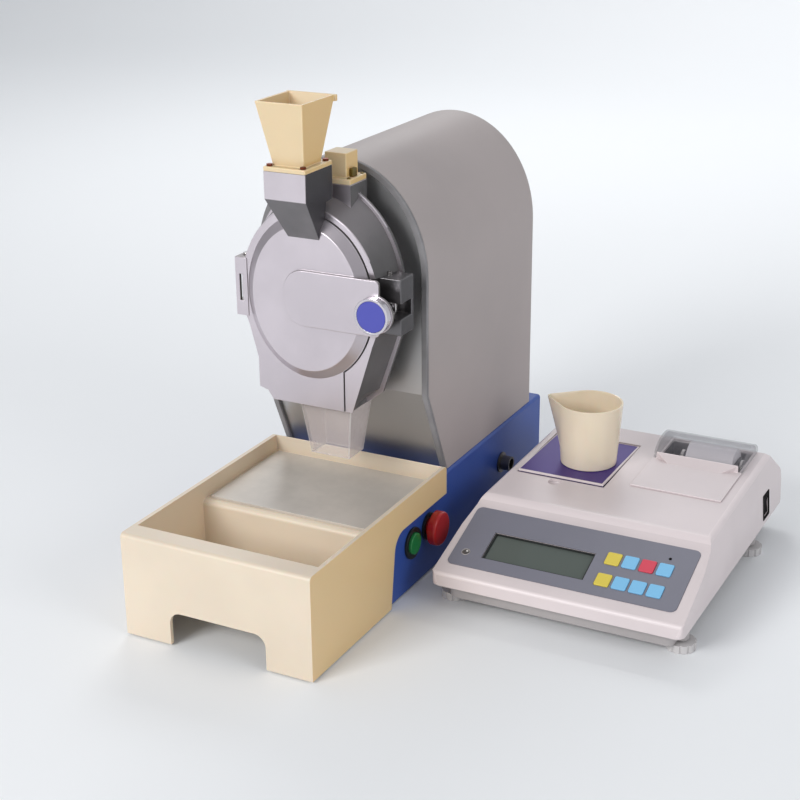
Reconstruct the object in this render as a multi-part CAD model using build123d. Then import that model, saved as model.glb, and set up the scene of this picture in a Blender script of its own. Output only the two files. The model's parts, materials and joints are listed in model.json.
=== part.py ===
"""Grain hardness tester: a small hammer mill with its collecting tray, and the weighing unit beside it.

Millimetres. The bench frame used below has X to the right from the mill's left side, Y to the back
from the tray's front face, and Z up from the bench. Each sub-part is written to parts/NAME.step, moved
so that the origin is at the bottom centre of the whole set.
"""
import os
from math import atan2, cos, degrees, hypot, radians, sin, sqrt, tan

from build123d import *

os.makedirs("parts", exist_ok=True)

# Fits and gaps
slip = 0.3              # two loose faces or curved faces side by side
run_fit = 0.06          # shaft in its bearing or bore, on the radius
seam = 1.0              # gap round the door
through = 1.0           # how far a cutting tool reaches past the faces it opens
overcut = 0.1           # the same for a tapered tool

# Mill, overall
mill_w = 230.0
mill_x = mill_w / 2
sheet = 2.0             # base shell and hood sheet

# Tray cover, the ivory moulding in front
tray_l = 311.0
tray_h = 120.0
tray_wall = 4.7
tray_lift = 2.0         # lower edge above the bench
front_rim = 25.0        # front wall, double and thick
well_floor_z = 47.0
shelf_y = 146.0
shelf_z = 100.0
shelf_t = 5.0
shelf_edge_r = 7.0
leg_y = 172.0           # the sides are full height from the front to here
leg_top_y = 184.0
arm_z = 86.0            # lower edge of the sides behind that
arm_bend_r = 22.0
tray_corner_r = 5.0
hand_x = mill_x - 58.0   # arch under the front wall
hand_w = mill_w - 112.0
hand_h = 41.0
hand_r = 14.0

# Plate lying on the shelf
plate_t = 3.0
plate_margin = 6.0
plate_front_y = 154.0

# Base shell, the blue steel box
base_side = 5.0         # set in from the mill's sides
base_top_z = 108.0
base_rear_y = 602.0
base_lift = 2.0
base_edge_r = 4.0
floor_z = 5.0           # underside of the base plate, on the feet
floor_t = 3.0
foot_r = 14.0
foot_inset = 24.0

# Hood
hood_half_w = mill_x - 8.0
hood_arch_h = 126.0
hood_top_z = 475.0
hood_front_y = 277.0
hood_rear_y = base_rear_y - 30.0
hood_bend_z = 214.0
hood_foot_y = 325.0
edging_w = 7.0
edging_t = 5.0
panel_t = 3.0
vent_l = 56.0
vent_h = 5.0
vent_r = 2.4
vent_pitch = 14.0
vent_rows = 9
vent_z = 190.0
vent_x = 46.0           # middle of each row of vents from the middle of the hood

# Grinding chamber
axis_z = 335.0          # rotor axis
disc_half_w = 77.0      # raised disc of the door
disc_half_h = 92.0
rim_w = 8.0             # housing rim outside the disc
rim_y = 209.0
flange_y = 250.0
flange_t = 4.0
flange_out = 18.0       # flange beyond the disc, sideways
flange_up = 29.0        # flange beyond the disc, upwards
flange_lip = 4.0
skirt_z = 210.0         # lower edge of the door and the housing
skirt_corner_x = mill_x - 50.0
skirt_top_z = 300.0
flange_low_z = 199.0
flange_corner_x = mill_x - 35.0
flange_bend_x = mill_x - 66.0
flange_bend_z = 223.0
flange_side_x = mill_x - 94.0
flange_side_z = 305.0
collar_r = 72.0
chamber_r = 64.0
chamber_back_y = 262.0
chamber_wall = 8.0
neck_r = 42.0
neck_bore_r = 33.0
discharge_x0 = mill_x - 20.0
discharge_x1 = mill_x + 37.0
discharge_wall = 4.0

# Door
door_y = 208.0          # front of the door's plate
door_t = 8.0
disc_bevel = 11.0
disc_rise = 8.0
skirt_out = 2.0         # top of the skirt beyond the disc
ear_in = 3.0            # the skirt's corner on the left
ear_top_h = 47.0
ear_low_h = 13.0
ear_foot_w = 7.0
ear_foot_h = 10.0
door_skirt_x = mill_x + 40.0    # where the seam runs down to the lower edge
door_rim_x = mill_x - 26.0      # the door carries the rim to the left of this
feed_x0 = mill_x - 15.0
feed_x1 = mill_x + 15.0
feed_front_z = 404.0
feed_drop = 26.0
feed_h = 18.0

# Tongue and lock knob
tongue_x = mill_x - 25.0
tongue_end_x = mill_x + 91.0
tongue_h = 62.0
tongue_t = 4.0
tongue_z = 337.0
tongue_left_r = 24.0
tongue_right_r = 5.0
boss_r = 14.0
boss_y = 207.0
knob_x = mill_x + 86.0
knob_z = 331.0
knob_r = 20.0
knob_t = 8.0
knob_cap_r = 17.0
knob_cap_t = 2.0
stud_r = 4.0
stud_end_y = 228.0
stud_room = 1.2         # round the stud in the trunnion, for the door's swing

# Latch bracket on the housing's right side
latch_x0 = mill_x + 75.0
latch_x1 = mill_x + 107.0
latch_y1 = 246.0
latch_top_z = 366.0
latch_low_z = 304.0
latch_gap = 17.0
latch_web = 5.0
latch_pin_r = 3.0
latch_pin_out = 3.0
trunnion_r = 8.0
trunnion_y = 232.0

# Hinge on the left
hinge_x = mill_x - 85.0
hinge_y = 221.0
hinge_pin_r = 3.0
hinge_low_z = 304.0
hinge_top_z = 370.0
hinge_front_y = 207.0
hinge_skin = 4.0
hinge_half_w = 7.5
hinge_slot_w = 5.0
hinge_head_r = 4.5
hinge_head_h = 2.0
arm_low_z = 321.0
arm_top_z = 351.0
arm_half_w = 4.5

# Feed chute and hopper on the door
chute_x0 = mill_x - 25.0
chute_x1 = mill_x + 25.0
chute_y0 = 165.0
chute_y1 = 221.0
chute_back_z = 443.0    # lower edge of the box at the back
chute_slope_z = 451.0   # where the front starts to slope
chute_top_z = 480.0
chute_wall = 3.0
spout_z = 403.0
spout_taper = 6.0
hopper_flange_t = 5.0
throat_w = 37.0
throat_y0 = 174.0
throat_y1 = 209.0
mouth_out = 3.0         # the mouth beyond the throat's flange, sideways
mouth_y0 = 158.0
mouth_y1 = 225.0
mouth_z = 553.0
mouth_rim_h = 7.0       # lip along the back of the mouth
mouth_rim_out = 2.0
hopper_wall = 2.5
screw_r = 1.6
screw_head_r = 3.2
screw_head_h = 2.2
screw_l = 12.0
screw_inset = 5.0
screw_boss_r = 4.0
screw_boss_h = 20.0

# Interlock cover behind the hopper
lug_x0 = mill_x - 1.0
lug_x1 = mill_x + 40.0
lug_y0 = 232.0
lug_y1 = 268.0
lug_low_z = 425.0
lug_top_z = 457.0
lug_flange_t = 6.0
lock_box_x0 = mill_x + 6.0
lock_box_x1 = mill_x + 32.0
lock_box_y0 = 238.0
lock_box_y1 = 264.0
lock_box_top_z = 489.0
lock_box_wall = 2.0

# Clear outlet chute
outlet_x0 = mill_x - 24.0
outlet_x1 = mill_x + 41.0
outlet_y0 = 222.0
outlet_y1 = 271.0
outlet_top_z = 208.0
outlet_low_z = 144.0
outlet_taper = 8.0
outlet_wall = 2.5

# Rotor, spindle and drive
rotor_r = 50.0
rotor_y0 = 222.0
rotor_w = 38.0
hub_r = 22.0
disc_t = 4.0
beater_count = 6
beater_w = 9.0
beater_inset = 2.0
sieve_in_r = 55.0
sieve_t = 1.5
sieve_y0 = 220.0
sieve_hole_r = 2.4
sieve_rows = 5
sieve_holes = 20        # in each row, over the lower half
spindle_r = 10.0
spindle_end_y = 408.0
spindle_wall_gap = 2.0
bearing_r = 23.5
bearing_w = 14.0
tube_r = 32.0
tube_y0 = 276.0
tube_end_y = 372.0
tube_bore_r = 16.0
pedestal_y = 336.0
pedestal_t = 12.0
pedestal_half_w = 60.0
pedestal_top_z = 388.0
pedestal_foot_l = 76.0
gusset_x = 45.0
gusset_t = 8.0
gusset_h = 180.0
pulley_y0 = 380.0
pulley_w = 24.0
pulley_rim = 3.5
pulley_rim_w = 3.0
spindle_pulley_r = 20.0
motor_pulley_r = 32.0
belt_t = 4.0
motor_z = 190.0
motor_r = 60.0
motor_y0 = 414.0
motor_l = hood_rear_y - 16.0 - motor_y0
motor_shaft_r = 9.0
motor_shaft_l = 40.0    # inside the motor
motor_foot_half_w = 55.0
motor_foot_y0 = 430.0
motor_foot_l = motor_l - 32.0
fin_count = 24
fin_h = 4.0
fin_w = 3.0
fin_free = 45.0         # no fins within this angle of straight down

# Buttons and fittings on the right side of the base
start_y = 232.0
start_z = 56.0
start_r = 12.5
start_out = 3.0         # cap beyond the bezel
start_travel = 3.0
stop_y = 272.0
stop_z = 60.0
stop_r = 20.0
stop_neck_r = 10.0
stop_neck_l = 9.0
stop_head_t = 10.0
stop_travel = 4.0
bezel_rim = 3.0
bezel_t = 3.0
barrel_depth = 12.0     # how far the button's bore reaches in behind the sheet
contact_w = 26.0
contact_h = 30.0
contact_l = 34.0
button_stem_r = 4.0
button_stem_l = 12.0
socket_y = 478.0
socket_z = 60.0
socket_flange_r = 13.0
socket_flange_t = 2.0
socket_r = 9.5
socket_l = 14.0
socket_bore_r = 6.5
socket_pin_r = 0.8
socket_pins = 5
inlet_x = mill_x - 45.0
inlet_z = 58.0
inlet_w = 50.0
inlet_h = 28.0
inlet_flange_t = 2.5
inlet_body_l = 22.0
inlet_hole_w = 24.0
inlet_hole_h = 16.0

# Weighing unit, housing and base
unit_x0 = mill_w + 34.0
unit_w = 288.0
unit_x1 = unit_x0 + unit_w
unit_y0 = 198.0
unit_y1 = 588.0
unit_low_z = 30.0       # lower edge of the upper housing
unit_wall = 3.0
nose_z = 44.0
nose_back = 3.0
panel_low_z = 50.0
panel_low_y = 216.0
panel_high_z = 81.0
panel_high_y = 304.0
panel_over = 6.0        # the slope goes on past the panel by this, on both sides
step_y = 317.0
step_z = 91.5
deck_front_z = 93.0
deck_front_y = 326.0
deck_rear_y = 555.0
deck_rear_z = 100.0
rear_bend_y = 582.0
rear_bend_z = 74.0
deck_inset = 13.0
side_bend_z = 70.0
side_lean = 3.0
unit_corner_r = 10.0
tub_inset = 15.0        # grey base under the housing
tub_low_z = 11.0
tub_flange_t = 3.0
level_foot_r = 16.0
level_foot_h = 9.0
level_foot_inset = 13.0
level_front_y = 238.0
level_rear_y = 490.0
level_stud_r = 4.0
level_stud_top = 25.0
level_boss_r = 8.0
level_flutes = 12

# Weighing unit, panel
overlay_x0 = unit_x0 + 11.0
overlay_w = unit_w - 26.0
overlay_t = 1.2
overlay_sink = 0.4
overlay_r = 7.0
lcd_u = 35.0
lcd_v = 17.0
lcd_w = overlay_w - 143.0
lcd_h = 42.0
lcd_t = 3.0
lcd_margin = 4.0
key_w = 16.4
key_h = 18.0
key_rows = (23.0, 55.5)
key_first_u = overlay_w - 87.0
key_pitch = 19.3
key_columns = 4
key_travel = 0.8
key_rise = key_travel + 0.4
key_t = 3.4
key_r = 2.0
vial_u = 15.0
vial_v = 21.0
vial_r = 5.0
vial_depth = 1.5

# Weighing unit, pan and cup
pan_x0 = unit_x0 + 23.0
pan_w = unit_w - 183.0
pan_y0 = 388.0
pan_l = 126.0
pan_t = 3.0
pan_gap = 1.5
pan_top_z = 97.5
post_r = 7.0
load_cell_w = 26.0
load_cell_h = 24.0
load_cell_l = 110.0
load_cell_lift = 6.0
load_cell_foot_l = 26.0
load_cell_slot = 5.0
notch_x = pan_x0 + 50.0
notch_y = 378.0
notch_r = 8.0
cup_x = pan_x0 + pan_w - 40.0
cup_y = 446.0
cup_base_r = 33.0
cup_rim_r = 38.5
cup_h = 76.0
cup_wall = 2.2
cup_spout = 13.0
beak_x = 0.57           # where the spout leaves the round, in radii
beak_y = 0.7

# Weighing unit, printer
bay_x0 = unit_x1 - 133.0
bay_w = 107.0
bay_y0 = 404.0
bay_ledge = 4.0         # the lid and the cover overlap the opening by this
lid_y1 = 486.0
lid_t = 2.2
lip_h = 7.0
lip_t = 2.0
cover_y0 = 487.0
cover_y1 = 556.0
cover_rise = 20.0
cover_t = 1.8
cover_rod_r = 1.5
roll_r = 21.0
roll_w = 57.0
roll_y = 522.0
roll_z = 91.0
roll_core_r = 6.0
roll_x = bay_x0 + 62.0
cheek_t = 4.0
cheek_h = 14.0          # half the height of the roll's carrier
rail_w = 4.0
mech_low_z = 60.0
mech_floor_t = 3.0
head_y0 = 432.0
head_y1 = 480.0
head_half_w = 32.0
rocker_y = 515.0
rocker_z = 52.0
rocker_l = 19.0
rocker_h = 25.0
rocker_frame = 2.5
rocker_pivot_r = 1.5
rocker_tilt = 8.0       # degrees each way

# Worked out from the above
base_x0 = base_side
base_x1 = mill_w - base_side
base_low_z = shelf_z - shelf_t
base_front_y = shelf_y + tray_wall + seam
base_step_y = tray_l + slip
hood_centre_z = hood_top_z - hood_arch_h
skirt_x = mill_x - disc_half_w - skirt_out
door_back_y = door_y + door_t
disc_front_y = door_y - disc_rise
tongue_front_y = disc_front_y - tongue_t
latch_y0 = door_back_y + slip
knob_back_y = tongue_front_y - slip
motor_y1 = motor_y0 + motor_l
load_cell_z0 = tub_low_z + unit_wall + load_cell_lift
panel_angle = degrees(atan2(panel_high_z - panel_low_z, panel_high_y - panel_low_y))
panel_l = hypot(panel_high_z - panel_low_z, panel_high_y - panel_low_y)
panel_slope = tan(radians(panel_angle))
key_top_w = overlay_t - overlay_sink + key_rise
right_end = unit_x1 - level_foot_inset + level_foot_r
origin_x = (0 + right_end) / 2
origin_y = (0 + base_rear_y + inlet_flange_t) / 2


# Simple solids by their limits
def box(x0, x1, y0, y1, z0, z1):
    return Pos((x0 + x1) / 2, (y0 + y1) / 2, (z0 + z1) / 2) * Box(x1 - x0, y1 - y0, z1 - z0)


def cyl_x(x0, x1, y, z, r):
    return Pos((x0 + x1) / 2, y, z) * Rot(0, 90, 0) * Cylinder(r, x1 - x0)


def cyl_y(x, z, y0, y1, r):
    return Pos(x, (y0 + y1) / 2, z) * Rot(90, 0, 0) * Cylinder(r, y1 - y0)


def cyl_z(x, y, z0, z1, r):
    return Pos(x, y, (z0 + z1) / 2) * Cylinder(r, z1 - z0)


def plane_xz(y):
    return Plane((0, y, 0), x_dir=(1, 0, 0), z_dir=(0, -1, 0))


def prism_xz(face, y0, y1):
    return extrude(plane_xz(y1) * face, amount=y1 - y0)


def prism_yz(face, x0, x1):
    return extrude(Plane((x0, 0, 0), x_dir=(0, 1, 0), z_dir=(1, 0, 0)) * face, amount=x1 - x0)


def polygon(*points):
    return make_face(Polyline(*points, close=True))


def rounded(face, radius, *spots):
    """The face with the corners nearest to the given spots rounded."""
    corners = [min(face.vertices(), key=lambda v: hypot(v.X - u, v.Y - w)) for u, w in spots]
    return fillet(corners, radius)


def ring_xz(x, z, y0, y1, outer, inner):
    return cyl_y(x, z, y0, y1, outer) - cyl_y(x, z, y0 - through, y1 + through, inner)


# Tray cover
def tray_cover():
    side = polygon((0, tray_lift), (leg_y, tray_lift), (leg_top_y, arm_z), (tray_l, arm_z),
                   (tray_l, tray_h), (0, tray_h))
    side = rounded(side, arm_bend_r, (leg_top_y, arm_z))
    side = rounded(side, tray_corner_r, (0, tray_h), (tray_l, tray_h))
    body = prism_yz(side, 0, mill_w)
    left, right = tray_wall, mill_w - tray_wall
    well = polygon((front_rim, well_floor_z), (shelf_y, well_floor_z), (shelf_y, shelf_z),
                   (tray_l - tray_wall, shelf_z), (tray_l - tray_wall, tray_h + through),
                   (front_rim, tray_h + through))
    well = rounded(well, shelf_edge_r, (shelf_y, shelf_z))
    body -= prism_yz(well, left, right)
    body -= box(left, right, tray_wall, front_rim - tray_wall, tray_lift - through, tray_h - tray_wall)
    under_well = well_floor_z - shelf_t
    body -= box(left, right, front_rim - tray_wall, tray_l + through, tray_lift - through, under_well)
    body -= box(left, right, shelf_y + tray_wall, tray_l + through, under_well - through, base_low_z)
    arch = Pos(hand_x + hand_w / 2, (tray_lift + hand_h) / 2 - hand_r) * RectangleRounded(
        hand_w, hand_h - tray_lift + 2 * hand_r, hand_r)
    body -= prism_xz(arch, -through, tray_wall + through)
    return body


def tray_plate():
    left = tray_wall + plate_margin
    return box(left, mill_w - left, plate_front_y, tray_l - tray_wall - plate_margin,
               shelf_z, shelf_z + plate_t)


# Base
def base_outline(inset):
    side = polygon((base_front_y + inset, base_lift), (base_rear_y - inset, base_lift),
                   (base_rear_y - inset, base_top_z - inset), (base_step_y + inset, base_top_z - inset),
                   (base_step_y + inset, base_low_z - inset), (base_front_y + inset, base_low_z - inset))
    section = Pos(mill_x, (base_lift + base_top_z - inset) / 2) * Rectangle(
        base_x1 - base_x0 - 2 * inset, base_top_z - inset - base_lift)
    if base_edge_r > inset:
        section = rounded(section, base_edge_r - inset, (base_x0, base_top_z), (base_x1, base_top_z))
    return prism_yz(side, base_x0 + inset, base_x1 - inset) & prism_xz(section, 0, base_rear_y)


def base_shell():
    body = base_outline(0) - base_outline(sheet)
    body -= box(base_x0 + sheet, base_x1 - sheet, base_front_y + sheet, base_rear_y - sheet,
                base_lift - through, base_lift + through)
    for y, z, r in ((start_y, start_z, start_r), (stop_y, stop_z, stop_neck_r)):
        body -= cyl_x(base_x1 - sheet - through, base_x1 + through, y, z, r + bezel_rim)
    body -= cyl_x(base_x1 - sheet - through, base_x1 + through, socket_y, socket_z, socket_r)
    body -= box(inlet_x - inlet_hole_w / 2 - slip, inlet_x + inlet_hole_w / 2 + slip,
                base_rear_y - sheet - through, base_rear_y + through,
                inlet_z - inlet_hole_h / 2 - slip, inlet_z + inlet_hole_h / 2 + slip)
    return body


def base_plate():
    edge = sheet + slip
    return box(base_x0 + edge, base_x1 - edge, base_front_y + edge, base_rear_y - edge,
               floor_z, floor_z + floor_t)


def mill_feet():
    return [cyl_z(x, y, 0, floor_z, foot_r)
            for x in (base_x0 + foot_inset, base_x1 - foot_inset)
            for y in (base_front_y + foot_inset, base_rear_y - foot_inset)]


# Hood, its front and its rear
def arch(inset):
    half = hood_half_w - inset
    height = hood_centre_z - base_top_z
    wall = Pos(mill_x, base_top_z + height / 2) * Rectangle(2 * half, height)
    return wall + Pos(mill_x, hood_centre_z) * Ellipse(half, hood_arch_h - inset)


def behind_front(back):
    top = hood_top_z + through
    side = polygon((hood_foot_y + back, base_top_z), (hood_rear_y, base_top_z), (hood_rear_y, top),
                   (hood_front_y + back, top), (hood_front_y + back, hood_bend_z))
    return prism_yz(side, 0, mill_w)


def hood():
    shell = prism_xz(arch(0), hood_front_y, hood_rear_y)
    shell -= prism_xz(arch(sheet), hood_front_y - through, hood_rear_y + through)
    return shell & behind_front(edging_t)


def hood_edging():
    ring = prism_xz(arch(0), hood_front_y, hood_rear_y)
    ring -= prism_xz(arch(edging_w), hood_front_y - through, hood_rear_y + through)
    return ring & (behind_front(0) - behind_front(edging_t))


def front_panel():
    sheet_in = prism_xz(arch(sheet + slip), hood_front_y, hood_rear_y)
    body = sheet_in & (behind_front(edging_t) - behind_front(edging_t + panel_t))
    hole_y1 = hood_front_y + edging_t + panel_t + through
    return body - cyl_y(mill_x, axis_z, hood_front_y, hole_y1, collar_r + slip)


def rear_panel():
    body = prism_xz(arch(sheet + slip), hood_rear_y - panel_t, hood_rear_y)
    for row in range(vent_rows):
        z = vent_z + row * vent_pitch
        for x in (mill_x - vent_x, mill_x + vent_x):
            slot = Pos(x, z) * RectangleRounded(vent_l, vent_h, vent_r)
            body -= prism_xz(slot, hood_rear_y - panel_t - through, hood_rear_y + through)
    return body


# Grinding chamber
def oval(half_w, half_h):
    return Pos(mill_x, axis_z) * Ellipse(half_w, half_h)


def mirrored(*points):
    """A closed outline that is alike left and right of the mill's middle."""
    return polygon(*points, *[(2 * mill_x - x, z) for x, z in reversed(points)])


def chamber_body():
    rim = oval(disc_half_w + rim_w, disc_half_h + rim_w)
    lip = oval(disc_half_w + flange_out - flange_lip, disc_half_h + flange_up - flange_lip)
    body = loft([plane_xz(rim_y) * rim.face(), plane_xz(flange_y) * lip.face()], ruled=True)
    bend = (flange_bend_z - flange_low_z) / (flange_side_z - flange_low_z)
    wedge_x = skirt_corner_x + bend * (skirt_x - skirt_corner_x)
    wedge_z = skirt_z + bend * (skirt_top_z - skirt_z)
    front = mirrored((skirt_x, skirt_top_z), (wedge_x, wedge_z), (skirt_corner_x, skirt_z))
    back = mirrored((flange_side_x + flange_lip, flange_side_z),
                    (flange_bend_x + flange_lip, flange_bend_z + flange_lip),
                    (flange_corner_x + flange_lip, flange_low_z + flange_lip))
    body += loft([plane_xz(rim_y) * front, plane_xz(flange_y) * back], ruled=True)
    flange = oval(disc_half_w + flange_out, disc_half_h + flange_up)
    flange += mirrored((flange_side_x, flange_side_z), (flange_bend_x, flange_bend_z),
                       (flange_corner_x, flange_low_z))
    body += prism_xz(flange, flange_y, flange_y + flange_t)
    panel_back_y = hood_front_y + edging_t + panel_t
    body += cyl_y(mill_x, axis_z, flange_y, panel_back_y + chamber_wall, collar_r)
    body += cyl_y(mill_x, axis_z, chamber_back_y, pedestal_y, neck_r)
    body += box(discharge_x0 - 2 * discharge_wall, discharge_x1 + 2 * discharge_wall,
                rim_y + chamber_wall, outlet_y1 + discharge_wall, outlet_top_z, axis_z - chamber_r)
    body += box(lug_x0, lug_x1, lug_y0, lug_y1, lug_low_z, lug_top_z)
    return body


def door_seat():
    """The room in the housing's front that the door and its seam take."""
    seat = oval(disc_half_w + seam, disc_half_h + seam)
    seat += polygon((0, 0), (door_rim_x + seam, 0), (door_rim_x + seam, mouth_z), (0, mouth_z))
    seat += polygon((0, 0), (door_skirt_x + seam, 0), (door_skirt_x + seam, skirt_top_z),
                    (0, skirt_top_z))
    return prism_xz(seat, 0, door_back_y + slip)


def hinge_room():
    reach = hypot(hinge_half_w, hinge_y - hinge_front_y)
    return box(0, hinge_x + hinge_half_w + seam, 0, hinge_y + reach - hinge_skin + seam,
               hinge_low_z - seam, hinge_top_z + slip + hinge_head_h + seam)


def chamber_housing():
    body = chamber_body() - door_seat() - hinge_room()
    body -= box(latch_x0, latch_x1, 0, latch_y1, latch_low_z, latch_top_z)
    body -= cyl_z(knob_x, trunnion_y, latch_low_z, latch_top_z + latch_pin_out + slip, latch_pin_r + slip)
    arm = box(hinge_x - arm_half_w, hinge_x + arm_half_w, hinge_y, flange_y, arm_low_z, arm_top_z)
    body += arm + cyl_z(hinge_x, hinge_y, arm_low_z, arm_top_z, arm_half_w)
    body -= cyl_z(hinge_x, hinge_y, arm_low_z - through, arm_top_z + through, hinge_pin_r + run_fit)
    body -= cyl_y(mill_x, axis_z, 0, chamber_back_y, chamber_r)
    panel_back_y = hood_front_y + edging_t + panel_t
    hollow = cyl_y(mill_x, axis_z, chamber_back_y + chamber_wall, panel_back_y + 2 * chamber_wall,
                   collar_r - chamber_wall / 2)
    body -= hollow - cyl_y(mill_x, axis_z, 0, pedestal_y, neck_r)
    body -= cyl_y(mill_x, axis_z, chamber_back_y + chamber_wall, pedestal_y + through, neck_bore_r)
    body -= cyl_y(mill_x, axis_z, chamber_back_y - through, pedestal_y, spindle_r + spindle_wall_gap)
    body -= box(discharge_x0, discharge_x1, outlet_y0 + outlet_wall, chamber_back_y,
                0, axis_z - chamber_r / 2)
    body -= box(outlet_x0 - slip, outlet_x1 + slip, outlet_y0 - slip, outlet_y1 + slip, 0, outlet_top_z)
    return body


def sieve_ring():
    ring = ring_xz(mill_x, axis_z, sieve_y0, chamber_back_y, sieve_in_r + sieve_t, sieve_in_r)
    pitch = (chamber_back_y - sieve_y0) / sieve_rows
    drill = Pos(0, 0, -sieve_in_r) * Cylinder(sieve_hole_r, 4 * sieve_t)
    holes = []
    for row in range(sieve_rows):
        y = sieve_y0 + (row + 0.5) * pitch
        for n in range(sieve_holes):
            turn = (n + 0.5 - sieve_holes / 2) * 180 / sieve_holes
            holes.append(Pos(mill_x, y, axis_z) * Rot(0, turn, 0) * drill)
    return ring - holes


# Door, with its tongue and its half of the hinge
def door():
    face = oval(disc_half_w, disc_half_h)
    left = polygon((0, 0), (door_rim_x, 0), (door_rim_x, mouth_z), (0, mouth_z))
    face += oval(disc_half_w + rim_w, disc_half_h + rim_w) & left
    ear_x = (skirt_x + skirt_corner_x) / 2 - ear_in
    face += polygon((skirt_x, skirt_top_z), (ear_x, skirt_z + ear_top_h), (ear_x, skirt_z + ear_low_h),
                    (skirt_corner_x - ear_foot_w, skirt_z + ear_foot_h), (skirt_corner_x, skirt_z),
                    (door_skirt_x, skirt_z), (door_skirt_x, skirt_top_z))
    body = prism_xz(face, door_y, door_back_y)
    raised = oval(disc_half_w - disc_bevel, disc_half_h - disc_bevel)
    base = oval(disc_half_w - slip, disc_half_h - slip)
    body += loft([plane_xz(disc_front_y) * raised.face(), plane_xz(door_y) * base.face()], ruled=True)
    body += tongue()
    body += hinge_block()
    feed = polygon((disc_front_y - through, feed_front_z + through),
                   (disc_front_y - through, feed_front_z + feed_h + through),
                   (door_back_y + through, feed_front_z + feed_h - feed_drop),
                   (door_back_y + through, feed_front_z - feed_drop))
    body -= prism_yz(feed, feed_x0, feed_x1)
    return body


def tongue():
    low, high = tongue_z - tongue_h / 2, tongue_z + tongue_h / 2
    plate = polygon((tongue_x, low), (tongue_end_x, low), (tongue_end_x, high), (tongue_x, high))
    plate = rounded(plate, tongue_left_r, (tongue_x, low), (tongue_x, high))
    plate = rounded(plate, tongue_right_r, (tongue_end_x, low), (tongue_end_x, high))
    plate += Pos(knob_x, knob_z) * Circle(knob_r + seam)
    body = prism_xz(plate, tongue_front_y, disc_front_y)
    body += cyl_y(knob_x, knob_z, disc_front_y, boss_y, boss_r)
    body += box(mill_x + disc_half_w - 2 * disc_bevel, knob_x, disc_front_y, boss_y,
                knob_z - boss_r, knob_z + boss_r)
    return body - cyl_y(knob_x, knob_z, 0, door_back_y, stud_r + run_fit)


def hinge_block():
    left, right = hinge_x - hinge_half_w, hinge_x + hinge_half_w
    body = box(left, right, hinge_front_y, hinge_y, hinge_low_z, hinge_top_z)
    body += cyl_z(hinge_x, hinge_y, hinge_low_z, hinge_top_z, hinge_half_w)
    body += box(hinge_x, mill_x - disc_half_w + rim_w, door_y, door_back_y, hinge_low_z, hinge_top_z)
    body -= box(left - through, right + seam, hinge_front_y + hinge_skin, hinge_y + 2 * hinge_half_w,
                arm_low_z - slip, arm_top_z + slip)
    body -= box(hinge_x - hinge_slot_w / 2, hinge_x + hinge_slot_w / 2, 0, hinge_y,
                arm_low_z, arm_top_z)
    return body - cyl_z(hinge_x, hinge_y, 0, mouth_z, hinge_pin_r + run_fit)


def hinge_pin():
    pin = cyl_z(hinge_x, hinge_y, hinge_low_z, hinge_top_z + slip + hinge_head_h, hinge_pin_r)
    return pin + cyl_z(hinge_x, hinge_y, hinge_top_z + slip, hinge_top_z + slip + hinge_head_h, hinge_head_r)


# Lock knob, its cap, and the latch that the stud enters
def lock_knob():
    body = cyl_y(knob_x, knob_z, knob_back_y - knob_t, knob_back_y, knob_r)
    body -= cyl_y(knob_x, knob_z, 0, knob_back_y - knob_t + knob_cap_t, knob_cap_r + run_fit)
    return body + cyl_y(knob_x, knob_z, knob_back_y, stud_end_y, stud_r)


def lock_knob_cap():
    front = knob_back_y - knob_t
    return cyl_y(knob_x, knob_z, front, front + knob_cap_t, knob_cap_r)


def latch_bracket():
    body = box(latch_x0, latch_x1, latch_y0, latch_y1, latch_low_z, latch_top_z)
    body -= box(0, mill_w, 0, latch_y1 - latch_web, knob_z - latch_gap / 2, knob_z + latch_gap / 2)
    return body - cyl_z(knob_x, trunnion_y, 0, mouth_z, latch_pin_r + run_fit)


def latch_trunnion():
    low, high = knob_z - latch_gap / 2 + slip, knob_z + latch_gap / 2 - slip
    barrel = cyl_z(knob_x, trunnion_y, low, high, trunnion_r)
    barrel -= cyl_z(knob_x, trunnion_y, 0, mouth_z, latch_pin_r + run_fit)
    slot = stud_r + stud_room
    barrel -= box(latch_x0, latch_x1, 0, trunnion_y - latch_pin_r, knob_z - slot, knob_z + slot)
    pin = cyl_z(knob_x, trunnion_y, latch_low_z, latch_top_z + latch_pin_out, latch_pin_r)
    return [barrel, pin]


# Feed chute and hopper
def chute_outline(inset, top):
    slope = hypot(disc_front_y - chute_y0, chute_slope_z - spout_z)
    down = inset * (chute_slope_z - spout_z) / slope
    along = inset * (disc_front_y - chute_y0) / slope
    rise = along + (down - inset) * (chute_slope_z - spout_z) / (disc_front_y - chute_y0)
    tip_z = spout_z + along + down * (chute_slope_z - spout_z) / (disc_front_y - chute_y0)
    side = polygon((chute_y0 + inset, top), (chute_y0 + inset, chute_slope_z + rise), (disc_front_y, tip_z),
                   (door_y - inset, tip_z), (door_y - inset, chute_back_z + inset),
                   (chute_y1 - inset, chute_back_z + inset), (chute_y1 - inset, top))
    front = polygon((chute_x0 + inset, top), (chute_x0 + inset, chute_slope_z),
                    (chute_x0 + spout_taper + inset, spout_z), (chute_x1 - spout_taper - inset, spout_z),
                    (chute_x1 - inset, chute_slope_z), (chute_x1 - inset, top))
    return prism_yz(side, 0, mill_w) & prism_xz(front, 0, chute_y1)


def screw_spots():
    return [(x, y) for x in (chute_x0 + screw_inset, chute_x1 - screw_inset)
            for y in (chute_y0 + screw_inset, chute_y1 - screw_inset)]


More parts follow.
